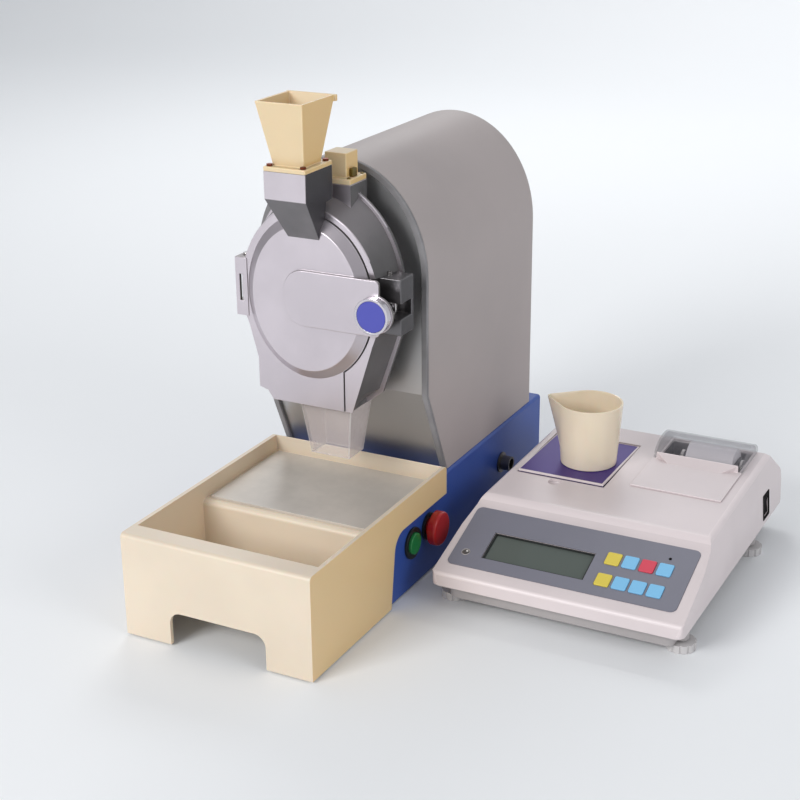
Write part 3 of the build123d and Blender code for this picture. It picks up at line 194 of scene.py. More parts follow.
def of_node(node, well_cut=False):
    """A copy of a CAD node's mesh with the triangles of each flat face joined, or joined and cut again into
    well-shaped ones, which suits faces with holes."""
    mesh = bmesh.new()
    mesh.from_mesh(frame["nodes"][node].data)
    bmesh.ops.remove_doubles(mesh, verts=mesh.verts, dist=WELD)
    bmesh.ops.dissolve_limit(mesh, angle_limit=FLAT, verts=mesh.verts, edges=mesh.edges)
    if well_cut:
        many = [face for face in mesh.faces if len(face.verts) > 4]
        bmesh.ops.triangulate(mesh, faces=many, quad_method="BEAUTY", ngon_method="BEAUTY")
    return mesh


def block(x0, x1, y0, y1, z0, z1):
    mesh = bmesh.new()
    middle = bench((x0 + x1) / 2, (y0 + y1) / 2, (z0 + z1) / 2)
    size = Vector((x1 - x0, y1 - y0, z1 - z0, 1000)) / 1000
    bmesh.ops.create_cube(mesh, size=1, matrix=Matrix.Translation(middle) @ Matrix.Diagonal(size))
    return mesh


def lathe(profile, centre, axis, steps=48):
    """A turned solid: the profile has (radius, height along the axis) in mm, and ends on the axis."""
    mesh = bmesh.new()
    turn = Vector(axis).to_track_quat("Z", "Y").to_matrix()
    rings = []
    for radius, height in profile:
        if radius == 0:
            rings.append([mesh.verts.new(centre + turn @ Vector((0, 0, height / 1000)))])
            continue
        ring = []
        for n in range(steps):
            angle = 2 * pi * n / steps
            spot = Vector((radius * cos(angle), radius * sin(angle), height)) / 1000
            ring.append(mesh.verts.new(centre + turn @ spot))
        rings.append(ring)
    skin(mesh, rings)
    return mesh


def skin(mesh, rings):
    """Join rings of vertices, where a ring of one vertex is a point."""
    for low, high in zip(rings, rings[1:]):
        steps = max(len(low), len(high))
        for n in range(steps):
            m = (n + 1) % steps
            corners = [low[n % len(low)], low[m % len(low)], high[m % len(high)], high[n % len(high)]]
            face = [v for k, v in enumerate(corners) if v not in corners[:k]]
            if len(face) > 2:
                mesh.faces.new(face)
    bmesh.ops.recalc_face_normals(mesh, faces=mesh.faces)


def rim_of(outer, inner, thickness, place):
    """A flat frame between two outlines with the same number of corners."""
    mesh = bmesh.new()
    loops = [[mesh.verts.new(place(a, b, h)) for a, b in outline]
             for outline, h in ((outer, 0), (outer, thickness), (inner, thickness), (inner, 0))]
    loops.append(loops[0])
    skin(mesh, loops)
    return mesh


def rectangle(a0, a1, b0, b1, radius=0.0, steps=6):
    """The corners of a rectangle, rounded if a radius is given."""
    if not radius:
        return [(a0, b0), (a1, b0), (a1, b1), (a0, b1)]
    corners = ((a1 - radius, b0 + radius, -90), (a1 - radius, b1 - radius, 0),
               (a0 + radius, b1 - radius, 90), (a0 + radius, b0 + radius, 180))
    points = []
    for a, b, start in corners:
        for n in range(steps + 1):
            angle = radians(start + 90 * n / steps)
            points.append((a + radius * cos(angle), b + radius * sin(angle)))
    return points


def regions_of(mesh):
    """A number for each face's flat region, and the regions' areas."""
    region, areas = {}, []
    for first in mesh.faces:
        if first in region:
            continue
        region[first] = len(areas)
        flat = [first]
        for face in flat:
            for edge in face.edges:
                if len(edge.link_faces) != 2 or edge.calc_face_angle(pi) > FLAT:
                    continue
                if min(other.calc_area() for other in edge.link_faces) < SLIVER:
                    continue
                found = [other for other in edge.link_faces if other not in region]
                region.update((other, len(areas)) for other in found)
                flat.extend(found)
        areas.append(sum(face.calc_area() for face in flat))
    return region, areas


def keep_flats_flat(data):
    """Set the corners' normals: between smooth faces the larger flat region has the say, however it is cut
    into triangles, so a rounded edge doesn't shade the flat face beside it. A corner only hears regions
    that face within SMOOTH of its own face's direction."""
    mesh = bmesh.new()
    mesh.from_mesh(data)
    region, areas = regions_of(mesh)
    normals = [Vector((0, 0, 1))] * len(data.loops)
    for vertex in mesh.verts:
        left = set(vertex.link_faces)
        while left:
            fan = [left.pop()]
            for face in fan:
                for edge in face.edges:
                    if vertex in edge.verts and edge.smooth:
                        found = left.intersection(edge.link_faces)
                        left -= found
                        fan.extend(found)
            heard = {}
            for face in fan:
                heard[region[face]] = heard.get(region[face], Vector()) + face.calc_area() * face.normal
            says = [(areas[n], heard[n].normalized()) for n in heard]
            for face in fan:
                near = [area * normal for area, normal in says if normal.dot(face.normal) > cos(SMOOTH)]
                loop = next(loop for loop in face.loops if loop.vert == vertex)
                normals[loop.index] = sum(near, Vector()).normalized() if near else face.normal.copy()
    mesh.free()
    data.normals_split_custom_set(normals)


def piece(name, mesh, finish, body="root", stands_for=()):
    """Make an object of the mesh, smooth its curved faces and set it on its CAD body."""
    data = bpy.data.meshes.new(name)
    mesh.to_mesh(data)
    mesh.free()
    data.shade_smooth()
    data.set_sharp_from_angle(angle=SMOOTH)
    made = bpy.data.objects.new(name, data)
    bpy.context.scene.collection.objects.link(made)
    data.materials.append(finish_named(finish))
    keep_flats_flat(data)
    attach(made, body)
    if stands_for:
        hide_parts(*stands_for)
    return made


def worked(name, node, finish, radius, segments, test=everywhere, well_cut=False):
    """A piece in place of a CAD node: the node's own form with its edges rounded."""
    source = frame["nodes"][node]
    mesh = rounded_off(of_node(node, well_cut), radius, segments, test)
    return piece(name, mesh, finish, source["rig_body"], (node,))


def coated(finish, *nodes):
    """CAD nodes whose form is right keep it and get a finish."""
    for node in nodes:
        data = frame["nodes"][node].data
        data.materials.clear()
        data.materials.append(finish_named(finish))
        data.shade_smooth()
        data.set_sharp_from_angle(angle=SMOOTH)


def screw(name, x, y, z, axis, radius, body, finish="screw_steel"):
    """A low button head with a hexagon socket; the point is where it meets the surface."""
    height, key = 0.62 * radius, 0.42 * radius
    centre, steps = bench(x, y, z), 24
    mesh = lathe(((radius, -0.3), (radius, 0.35 * height), (0.86 * radius, 0.8 * height),
                  (0.6 * radius, height)), centre, axis, steps)
    turn = Vector(axis).to_track_quat("Z", "Y").to_matrix()
    rim = list(mesh.verts)[-steps:]
    for depth in (height, 0.35 * height):
        hexagon = []
        for n in range(steps):
            side = radians(60 * round(n / 4))
            spot = Vector((key * cos(side), key * sin(side), depth)) / 1000
            hexagon.append(mesh.verts.new(centre + turn @ spot))
        for n in range(steps):
            m = (n + 1) % steps
            mesh.faces.new((rim[n], rim[m], hexagon[m], hexagon[n]))
        rim = hexagon
    mesh.faces.new(rim)
    bmesh.ops.remove_doubles(mesh, verts=mesh.verts, dist=WELD)
    bmesh.ops.recalc_face_normals(mesh, faces=mesh.faces)
    return piece(name, mesh, finish, body)


# Finishes

def paint(red, green, blue):
    """A colour as the eye reads it, 0 to 255, in scene-linear values."""
    linear = [c / 255 / 12.92 if c <= 10 else ((c / 255 + 0.055) / 1.055) ** 2.4 for c in (red, green, blue)]
    return (*linear, 1.0)


def shade(colour, factor):
    """The colour made darker or lighter by a factor."""
    return (*[min(1.0, c * factor) for c in colour[:3]], 1.0)


class Wire:
    """An output of a finish's node tree. Python's operators on it add Math nodes."""

    def __init__(self, finish, socket):
        self.finish = finish
        self.socket = socket

    def __add__(self, other):
        return self.finish.maths("ADD", self, other)

    def __radd__(self, other):
        return self.finish.maths("ADD", other, self)

    def __sub__(self, other):
        return self.finish.maths("SUBTRACT", self, other)

    def __rsub__(self, other):
        return self.finish.maths("SUBTRACT", other, self)

    def __mul__(self, other):
        return self.finish.maths("MULTIPLY", self, other)


class Finish:
    """A material in the making. Its constants go on the shader's own sockets."""

    def __init__(self, name, **constants):
        self.material = bpy.data.materials.new(name)
        self.material.use_nodes = True
        self.tree = self.material.node_tree
        self.shader = self.tree.nodes["Principled BSDF"]
        for socket, value in constants.items():
            self.shader.inputs[socket.replace("_", " ")].default_value = value

    def node(self, kind, settings, inputs, output=0):
        node = self.tree.nodes.new(kind)
        for name, value in settings.items():
            setattr(node, name, value)
        for key, value in inputs.items():
            if isinstance(value, Wire):
                self.tree.links.new(value.socket, node.inputs[key])
            else:
                node.inputs[key].default_value = value
        return Wire(self, node.outputs[output])

    def maths(self, operation, *values):
        return self.node("ShaderNodeMath", {"operation": operation}, dict(enumerate(values)))

    def place(self, stretch=(1, 1, 1)):
        """Object coordinates in metres, stretched along the axes."""
        spot = self.node("ShaderNodeTexCoord", {}, {}, "Object")
        return self.node("ShaderNodeMapping", {}, {"Vector": spot, "Scale": stretch})

    def noise(self, scale, detail=2.0, stretch=(1, 1, 1), roughness=0.5):
        return self.node("ShaderNodeTexNoise", {}, {
            "Vector": self.place(stretch), "Scale": scale, "Detail": detail, "Roughness": roughness}, "Fac")

    def facing(self, axis):
        """How far the surface faces along an object axis, from -1 to 1."""
        normal = self.node("ShaderNodeTexCoord", {}, {}, "Normal")
        return self.node("ShaderNodeSeparateXYZ", {}, {"Vector": normal}, axis)

    def along(self, axis):
        """The object coordinate along an axis, in metres."""
        return self.node("ShaderNodeSeparateXYZ", {}, {"Vector": self.place()}, axis)

    def ramp(self, value, low, high):
        """0 below low, 1 above high and a smooth rise between."""
        return self.node("ShaderNodeMapRange", {"interpolation_type": "SMOOTHSTEP"}, {
            "Value": value, "From Min": low, "From Max": high})

    def worn(self):
        """1 on the faces that rounding has made, and 0 on the others."""
        return self.node("ShaderNodeAttribute", {"attribute_name": "worn"}, {}, "Fac")

    def blend(self, factor, a, b):
        return self.node("ShaderNodeMix", {"data_type": "RGBA"}, {0: factor, 6: a, 7: b}, 2)

    def tones(self, value, low, high, colour, at_low, at_high):
        """A shade of the colour where the value is low, which passes to another where it is high."""
        return self.blend(self.ramp(value, low, high), shade(colour, at_low), shade(colour, at_high))

    def feed(self, socket, wire):
        self.tree.links.new(wire.socket, self.shader.inputs[socket])

    def bump(self, height, distance, strength):
        self.feed("Normal", self.node("ShaderNodeBump", {}, {
            "Height": height, "Distance": distance, "Strength": strength}))


def moulded(name, colour, roughness, grain=0.06, edge=0.35, **constants):
    """Injection-moulded plastic: faint flow marks, a fine skin, and a painted highlight on the rounded edges.
    """
    f = Finish(name, **constants)
    cloud = f.noise(9, 3)
    skin_grain = f.noise(1500, 2)
    base = f.tones(cloud, 0.3, 0.7, colour, 0.95, 1.03)
    # The rounded edges are lightened by the share edge, a painted highlight.
    f.feed("Base Color", f.blend(f.worn() * edge, base, shade(colour, 1.12)))
    f.feed("Roughness", roughness + (cloud - 0.5) * 0.14 + (skin_grain - 0.5) * grain)
    f.bump(skin_grain, 0.00006, 0.35)
    return f.material


def ivory_plastic(name, colour, roughness, outside, **constants):
    """Translucent ivory plastic with painted shade: the faces turned to the right are painted deeper and more
    golden, and most so the outer ones, from the bench frame's x named by outside."""
    f = Finish(name, **constants)
    cloud = f.noise(9, 3)
    skin_grain = f.noise(1500, 2)
    base = f.tones(cloud, 0.3, 0.7, colour, 0.96, 1.03)
    painted_side_shade = (colour[0], colour[1] * 0.82, colour[2] * 0.48, 1.0)
    outer = f.ramp(f.along(0), bench(outside - 4, 0, 0).x, bench(outside, 0, 0).x)
    # Faces turned to the right are painted deeper and more golden as a painted shade, the outer ones most.
    base = f.blend(f.ramp(f.facing(0), 0.1, 0.8) * (0.22 + outer * 0.63), base, painted_side_shade)
    # The rounded edges are lightened, a painted highlight.
    f.feed("Base Color", f.blend(f.worn() * 0.5, base, shade(colour, 1.18)))
    f.feed("Roughness", roughness + (cloud - 0.5) * 0.14 + (skin_grain - 0.5) * 0.06)
    f.bump(skin_grain, 0.00006, 0.35)
    return f.material


def coat_of_paint(name, colour, roughness, peel=0.00012, **constants):
    """Baked paint: an orange-peel skin, uneven gloss and thinner, lighter paint on the edges."""
    f = Finish(name, **constants)
    peel_height = f.noise(380, 2)
    cloud = f.noise(5, 4)
    base = f.tones(cloud, 0.25, 0.75, colour, 0.93, 1.06)
    thin = f.worn() * 0.3 * f.ramp(f.noise(60, 3), 0.2, 0.7)
    f.feed("Base Color", f.blend(thin, base, shade(colour, 1.5)))
    f.feed("Roughness", roughness + (cloud - 0.5) * 0.16 + (peel_height - 0.5) * 0.1)
    f.bump(peel_height, peel, 0.5)
    return f.material


def brushed(name, colour, roughness, stretch, metallic=1.0, **constants):
    """Brushed sheet metal: fine lines along one direction."""
    f = Finish(name, Metallic=metallic, **constants)
    lines = f.noise(1, 4, stretch, 0.7)
    cloud = f.noise(4, 3)
    base = f.tones(lines, 0.3, 0.7, colour, 0.9, 1.06)
    f.feed("Base Color", f.blend(f.ramp(cloud, 0.2, 0.9) * 0.25, base, shade(colour, 0.8)))
    f.feed("Roughness", roughness + (lines - 0.5) * 0.2 + (cloud - 0.5) * 0.1)
    f.bump(lines, 0.00002, 0.4)
    return f.material


def turned(name, colour, roughness):
    """Machined steel or aluminium with faint tool marks."""
    f = Finish(name, Metallic=1.0)
    marks = f.noise(1, 3, (300, 2600, 300), 0.6)
    cloud = f.noise(40, 3)
    f.feed("Base Color", f.tones(cloud, 0.3, 0.8, colour, 0.88, 1.05))
    f.feed("Roughness", roughness + (cloud - 0.5) * 0.2 + (marks - 0.5) * 0.12)
    f.bump(marks, 0.00002, 0.3)
    return f.material


def casting(name, machined, raw, flank=None, stipple_from=None, low=0.35, high=0.8):
    """A cast housing: its front faces are machined and lighter, partly as painted light, and the rest is left
    as cast and darker, partly as painted shade, with painted light on faces turned up and a darker colour
    as painted shade on faces turned to the right. Low and high say how squarely a face looks to the
    front where the bright finish begins and is whole."""
    f = Finish(name)
    # Faces turned to the front are machined, and their lighter colour is partly painted light.
    front = f.ramp(f.facing(1) * -1, low, high)
    top = f.ramp(f.facing(2), 0.3, 0.9)
    grain = f.noise(520, 3)
    cloud = f.noise(14, 4)
    marks = f.noise(1, 3, (60, 60, 1100), 0.6)
    bright = f.tones(cloud, 0.3, 0.75, machined, 0.93, 1.04)
    dark = f.tones(cloud, 0.3, 0.75, raw, 0.8, 1.15)
    # Faces turned up are drawn towards the machined colour, a painted light.
    dark = f.blend(top * 0.3, dark, machined)
    # Faces turned to the right take a darker colour, a painted shade.
    if flank:
        dark = f.blend(f.ramp(f.facing(0), 0.3, 0.8), dark, flank)
    base = f.blend(front, dark, bright)
    f.feed("Base Color", f.blend(f.worn() * 0.55, base, shade(machined, 1.12)))
    f.feed("Metallic", 0.5 + front * 0.42)
    f.feed("Roughness", 0.5 - front * 0.18 + (cloud - 0.5) * 0.12)
    height = grain * (1 - front * 0.85) + marks * front * 0.12
    if stipple_from is not None:
        height = height + f.ramp(f.along(0), stipple_from, stipple_from + 0.012) * f.noise(900, 1) * 0.9
    f.bump(height, 0.00022, 0.6)
    return f.material


def rubber(name, colour, roughness=0.75):
    """Dark rubber or matt plastic with a fine grain."""
    f = Finish(name)
    grain = f.noise(700, 3)
    cloud = f.noise(20, 3)
    f.feed("Base Color", f.tones(cloud, 0.3, 0.8, colour, 0.8, 1.25))
    f.feed("Roughness", roughness + (grain - 0.5) * 0.2)
    f.bump(grain, 0.0001, 0.5)
    return f.material


def clear(name, colour, body, haze, aslant):
    """Thin clear plastic: it shows more of itself at its edges and where it is seen aslant, and has a trace
    of dust. Body and aslant are the shares of it that show where it is seen straight on and edge on."""
    f = Finish(name)
    dust = f.noise(160, 4)
    slant = f.node("ShaderNodeLayerWeight", {}, {"Blend": 0.35}, "Facing")
    base = f.tones(dust, 0.35, 0.9, colour, 1.0, 0.9)
    # The rounded edges are painted lighter, a painted highlight.
    f.feed("Base Color", f.blend(f.worn() * 0.7, base, shade(colour, 1.5)))
    f.feed("Roughness", haze + f.ramp(dust, 0.45, 0.9) * 0.16)
    f.feed("Alpha", body + slant * (aslant - body) + f.worn() * 0.25)
    f.bump(f.noise(30, 2), 0.0002, 0.15)
    return f.material


def display(name, colour):
    """The grey-green pane of a liquid crystal display, with the faint grid of its cells."""
    f = Finish(name, Coat_Weight=0.6, Coat_Roughness=0.08)
    grid = f.node("ShaderNodeTexBrick", {"offset": 0.0, "squash": 1.0}, {
        "Vector": f.place(), "Scale": 1.0, "Mortar Size": 0.00012, "Brick Width": 0.0011,
        "Row Height": 0.0011, "Color1": (1, 1, 1, 1), "Color2": (1, 1, 1, 1), "Mortar": (0, 0, 0, 1)}, "Fac")
    cloud = f.noise(12, 2)
    base = f.tones(cloud, 0.3, 0.7, colour, 0.94, 1.05)
    f.feed("Base Color", f.blend(grid * 0.12, base, shade(colour, 0.7)))
    f.feed("Roughness", 0.34 + (cloud - 0.5) * 0.1)
    return f.material


def film(name, colour):
    """A printed polyester film: an even matt tone with a very fine texture."""
    f = Finish(name)
    texture = f.node("ShaderNodeTexVoronoi", {}, {"Vector": f.place(), "Scale": 1800.0}, "Distance")
    cloud = f.noise(7, 3)
    base = f.tones(cloud, 0.3, 0.7, colour, 0.95, 1.05)
    f.feed("Base Color", f.blend(texture * 0.1, base, shade(colour, 1.25)))
    f.feed("Roughness", 0.46 + (cloud - 0.5) * 0.1)
    f.bump(texture, 0.00003, 0.5)
    return f.material


def paper_stock(name, colour):
    """A tight paper roll: fibres on the face, and the layers' edges as rings on the ends."""
    f = Finish(name)
    axle = bench(0, ROLL_Y, ROLL_Z)
    y, z = f.along(1) - axle.y, f.along(2) - axle.z
    away = f.maths("POWER", y * y + z * z, 0.5)
    rings = f.maths("SINE", away * 9000)
    end = f.ramp(f.facing(0) * f.facing(0), 0.5, 0.9)
    fibres = f.noise(1, 4, (900, 260, 260), 0.6)
    base = f.tones(fibres, 0.3, 0.8, colour, 0.95, 1.03)
    f.feed("Base Color", f.blend(end * (0.22 + rings * 0.2), base, shade(colour, 0.66)))
    f.feed("Roughness", 0.82 + (fibres - 0.5) * 0.1)
    f.bump(fibres * (1 - end) + rings * end, 0.00004, 0.5)
    return f.material


def floor_cover(name, colour):
    """A plain matt floor."""
    f = Finish(name, Roughness=0.85)
    cloud = f.noise(1.5, 3)
    f.feed("Base Color", f.blend(cloud, shade(colour, 0.985), shade(colour, 1.0)))
    return f.material


# For each finish its maker, its colour, as a name where that can be set, and the maker's other values
FINISHES = {
    # The ivory finishes paint shade on faces turned to the right; outside is the x where their outer faces
    # begin.
    "ivory": (ivory_plastic, "ivory", dict(roughness=0.36, outside=220, Subsurface_Weight=0.12,
                                           Subsurface_Scale=0.004)),
    "hopper_ivory": (ivory_plastic, "hopper", dict(roughness=0.34, outside=126, Subsurface_Weight=0.1,
                                                   Subsurface_Scale=0.004)),
    "cup_ivory": (moulded, "cup", dict(roughness=0.17, Subsurface_Weight=0.1, Subsurface_Scale=0.004)),
    "tray_sheet": (brushed, paint(208, 200, 190), dict(roughness=0.34, stretch=(12, 12, 12), metallic=0.08,
                                                       Coat_Weight=0.25, Coat_Roughness=0.16)),
    "base_blue": (coat_of_paint, "base", dict(roughness=0.38, Specular_IOR_Level=0.35)),
    "floor_plate_grey": (coat_of_paint, paint(120, 122, 126), dict(roughness=0.5)),
    "hood_grey": (coat_of_paint, "hood", dict(roughness=0.5, peel=0.0001)),
    "trim_dark": (rubber, paint(134, 132, 134), dict(roughness=0.5)),
    # The panel's steel is light and barely metallic, a painted reflection of the bright room round it.
    "panel_steel": (brushed, paint(226, 221, 222), dict(roughness=0.36, stretch=(1500, 1500, 12),
                                                        metallic=0.25)),
    # The castings paint light and shade: lighter front and top faces, an as-cast colour darkened as painted
    # shade, and a painted shade on the chute's right flank.
    "housing_cast": (casting, "casting", dict(raw=paint(110, 108, 108))),
    "door_cast": (casting, "casting", dict(raw=paint(128, 125, 122), stipple_from=bench(176, 0, 0).x)),
    "chute_cast": (casting, "casting", dict(raw=paint(128, 126, 129), flank=paint(66, 64, 67), low=0.88,
                                            high=0.98)),
    "latch_cast": (casting, paint(112, 110, 112), dict(raw=paint(78, 76, 78))),
    "shaft_steel": (turned, paint(176, 176, 178), dict(roughness=0.24)),
    "rotor_iron": (turned, paint(128, 126, 124), dict(roughness=0.42)),
    "sieve_steel": (brushed, paint(168, 168, 170), dict(roughness=0.32, stretch=(30, 1200, 30))),
    "bearing_steel": (turned, paint(200, 202, 206), dict(roughness=0.16)),
    "screw_steel": (turned, paint(150, 146, 142), dict(roughness=0.34)),
    "screw_brown": (turned, paint(122, 62, 44), dict(roughness=0.42)),
    "brass": (turned, paint(120, 104, 58), dict(roughness=0.4)),
    "pin_bright": (turned, paint(216, 212, 210), dict(roughness=0.2)),
    # The bubble's light colour is also a painted glint.
    "air_bubble": (moulded, paint(226, 224, 222), dict(roughness=0.1)),
    "outlet_clear": (clear, paint(226, 216, 214), dict(body=0.24, haze=0.12, aslant=0.75)),
    "cover_smoky": (clear, paint(140, 139, 146), dict(body=0.1, haze=0.05, aslant=0.46)),
    "vial_glass": (clear, paint(104, 100, 98), dict(body=0.6, haze=0.04, aslant=0.75)),
    "belt_rubber": (rubber, paint(34, 34, 36), {}),
    "foot_rubber": (rubber, paint(40, 40, 42), {}),
    "motor_grey": (coat_of_paint, paint(86, 96, 108), dict(roughness=0.45)),
    "start_green": (moulded, "start", dict(roughness=0.24)),
    "stop_red": (moulded, "stop", dict(roughness=0.24)),
    "switch_dark": (moulded, paint(26, 30, 30), dict(roughness=0.36)),
    "socket_black": (moulded, paint(28, 28, 30), dict(roughness=0.42)),
    "connector_metal": (turned, paint(120, 116, 112), dict(roughness=0.36)),
    "knob_metal": (turned, paint(206, 202, 208), dict(roughness=0.26)),
    "knob_blue": (moulded, "knob", dict(roughness=0.22)),
    # The case's ridges get a strong painted highlight through the edge share.
    "case_grey": (moulded, "case", dict(roughness=0.34, grain=0.1, edge=0.9)),
    "tub_grey": (moulded, paint(176, 171, 171), dict(roughness=0.42, grain=0.14)),
    "foot_plastic": (moulded, paint(206, 198, 198), dict(roughness=0.36, grain=0.1)),
    "overlay": (film, "overlay", {}),
    "lcd": (display, "lcd", {}),
    # The display's lining is dark as a painted shade.
    "lcd_frame": (rubber, paint(44, 46, 46), dict(roughness=0.55)),
    "key_yellow": (moulded, "key_yellow", dict(roughness=0.32)),
    "key_blue": (moulded, "key_blue", dict(roughness=0.32)),
    "key_red": (moulded, "key_red", dict(roughness=0.32)),
    "pan_violet": (coat_of_paint, "pan", dict(roughness=0.36, peel=0.00008, Specular_IOR_Level=0.3)),
    "cell_alloy": (brushed, paint(200, 200, 204), dict(roughness=0.3, stretch=(12, 1400, 1400))),
    "mechanism": (moulded, paint(62, 60, 62), dict(roughness=0.44)),
    "gear_white": (moulded, paint(196, 192, 192), dict(roughness=0.4)),
    "paper": (paper_stock, "paper", {}),
    "rocker_black": (moulded, paint(15, 13, 14), dict(roughness=0.7, Specular_IOR_Level=0.06)),
    "floor": (floor_cover, "floor", {}),
}


def finish_named(name):
    """The named finish, made the first time that it is asked for."""
    maker, colour, values = FINISHES[name]
    if isinstance(colour, str):
        colour = getattr(bpy.context.scene.tester_colours, colour)
    return bpy.data.materials.get(name) or maker(name, colour, **values)


# Settings

def colour_property(name, description, red, green, blue):
    return bpy.props.FloatVectorProperty(name=name, description=description, subtype="COLOR", size=4, min=0,
                                         max=1, default=paint(red, green, blue))


def length_property(name, description, millimetres):
    return bpy.props.FloatProperty(name=name, description=description, unit="LENGTH", subtype="DISTANCE",
                                   min=0, default=millimetres / 1000)


def angle_property(name, description, degrees):
    return bpy.props.FloatProperty(name=name, description=description, unit="ROTATION", subtype="ANGLE",
                                   default=radians(degrees))


class TesterColours(bpy.types.PropertyGroup):
    """Colours of the tester's finishes"""
    ivory: colour_property("Tray ivory", "Tray moulding", 230, 215, 194)
    hopper: colour_property("Hopper ivory", "Hopper and interlock cover", 226, 204, 166)
    cup: colour_property("Cup ivory", "Weighing cup", 236, 222, 198)
    base: colour_property("Base blue", "Paint of the mill's base", 50, 82, 162)
    hood: colour_property("Hood grey", "Paint of the drive hood", 174, 164, 162)
    casting: colour_property("Casting", "Machined faces of door and housing", 208, 200, 206)
    knob: colour_property("Knob blue", "Disc of the lock knob", 52, 56, 148)
    start: colour_property("Start green", "Start button", 34, 128, 66)
    stop: colour_property("Stop red", "Stop button", 178, 32, 32)
    case: colour_property("Case grey", "Weighing unit's housing", 220, 209, 210)
    overlay: colour_property("Panel grey", "Film of the sloping panel", 122, 122, 134)
    lcd: colour_property("Display", "Pane of the display", 92, 96, 90)
    key_yellow: colour_property("Yellow keys", "First key of each row", 212, 190, 70)
    key_blue: colour_property("Blue keys", "Light blue keys", 80, 170, 222)
    key_red: colour_property("Red key", "Third key of the upper row", 202, 38, 44)
    pan: colour_property("Pan violet", "Weighing pan", 52, 36, 112)
    paper: colour_property("Paper", "Printer paper", 240, 230, 240)
    floor: colour_property("Floor", "Plain floor and background", 244, 246, 248)


class TesterSizes(bpy.types.PropertyGroup):
    """Sizes of edges and small pieces, in metres"""
    mould_edge: length_property("Tray edge", "Rounding of the ivory moulding's edges", 2.1)
    fine_edge: length_property("Fine edge", "Rounding of small parts' edges", 0.5)
    sheet_edge: length_property("Sheet edge", "Rounding of folded sheet", 1.0)
    casting_edge: length_property("Casting edge", "Rounding of the castings' edges", 1.1)
    case_ridge: length_property("Case ridge", "Rounding of the weighing unit's ridges", 5.0)
    button_edge: length_property("Button edge", "Rounding of the start button", 1.4)
    key_edge: length_property("Key edge", "Rounding of the keys", 0.8)


def sizes():
    return bpy.context.scene.tester_sizes


# Mill

class TESTER_OT_tray(bpy.types.Operator):
    """Mould the tray cover and lay the sheet on its shelf"""
    bl_idname = "tester.tray"
    bl_label = "Tray"

    def execute(self, context):
        s = sizes()
        worked("tray_moulding", "tray_cover", "ivory", s.mould_edge, 4, well_cut=True)
        worked("tray_sheet", "tray_plate", "tray_sheet", s.fine_edge, 3)
        return {"FINISHED"}


class TESTER_OT_base(bpy.types.Operator):
    """Fold the blue base box and set it on its feet"""
    bl_idname = "tester.base"
    bl_label = "Base"

    def execute(self, context):
        s = sizes()
        worked("base_box", "base_shell", "base_blue", s.fine_edge, 3)
        worked("base_floor", "base_plate", "floor_plate_grey", s.fine_edge, 2)
        worked("mill_pads", "mill_feet", "foot_rubber", s.sheet_edge, 3)
        return {"FINISHED"}


class TESTER_OT_hood(bpy.types.Operator):
    """Roll the hood, fit its edging and close it at both ends"""
    bl_idname = "tester.hood"
    bl_label = "Hood"

    def execute(self, context):
        s = sizes()
        worked("hood_skin", "hood", "hood_grey", s.fine_edge, 2)
        worked("hood_trim", "hood_edging", "trim_dark", 1.2 * s.sheet_edge, 3)
        coated("panel_steel", "front_panel")
        worked("hood_back", "rear_panel", "hood_grey", s.fine_edge / 2, 1)
        for n, (x, z) in enumerate(((22, 122), (208, 122), (22, 235), (208, 235), (22, 348), (208, 348),
                                    (64, 444), (166, 444))):
            screw("hood_screw_%d" % (n + 1), x, 572, z, (0, 1, 0), 3.4, "root")
        return {"FINISHED"}


def on_housing(middle, along):
    """The housing's outer edges: rim, flange and lug, without its bores and pockets."""
    rim = middle.y < 209.2 and middle.z > 214 and not 189 < middle.x < 223
    hinge = middle.x < 42 and 298 < middle.z < 378
    outside = oval_reach(middle, FLANGE_OVAL) > 1.03 and not 189 < middle.x < 223
    flange = 249.5 < middle.y < 254.5 and outside
    lug = middle.y > 231 and middle.z > 456
    return (rim or flange or lug) and not hinge


class TESTER_OT_chamber(bpy.types.Operator):
    """Cast the grinding chamber's housing with its latch, interlock cover and outlet"""
    bl_idname = "tester.chamber"
    bl_label = "Chamber"

    def execute(self, context):
        s = sizes()
        worked("chamber_casting", "chamber_housing", "housing_cast", s.casting_edge, 3, on_housing,
               well_cut=True)
        coated("sieve_steel", "sieve_ring")
        worked("latch_block", "latch_bracket", "latch_cast", s.casting_edge, 3)
        coated("pin_bright", "latch_trunnion")
        worked("interlock_cap", "interlock_cover", "hopper_ivory", s.sheet_edge, 3)
        for n, (x, y) in enumerate(((117.6, 235.4), (151.4, 235.4), (117.6, 264.8), (151.4, 264.8))):
            screw("interlock_screw_%d" % (n + 1), x, y, 463, (0, 0, 1), 2.0, "root", "brass")
        lever = rounded_off(block(147.2, 151.6, 244, 254, 462.5, 472), s.sheet_edge, 3)
        piece("interlock_lever", lever, "brass")
        worked("outlet_spout", "outlet_chute", "outlet_clear", s.fine_edge, 2)
        return {"FINISHED"}


def on_door(middle, along):
    """The door's front edges, without the narrow ledge round the foot of the raised disc."""
    ledge = 0.985 < oval_reach(middle, DOOR_OVAL) < 1.012 and 207.5 < middle.y < 208.5
    feed = 99 < middle.x < 131 and middle.z > 375
    return middle.y < 208.5 and not (ledge or feed)


class TESTER_OT_door(bpy.types.Operator):
    """Cast the door with its tongue and hang it on the hinge pin"""
    bl_idname = "tester.door"
    bl_label = "Door"

    def execute(self, context):
        s = sizes()
        worked("door_casting", "door", "door_cast", 0.7 * s.casting_edge, 3, on_door)
        worked("hinge_rod", "hinge_pin", "pin_bright", s.fine_edge, 2)
        return {"FINISHED"}


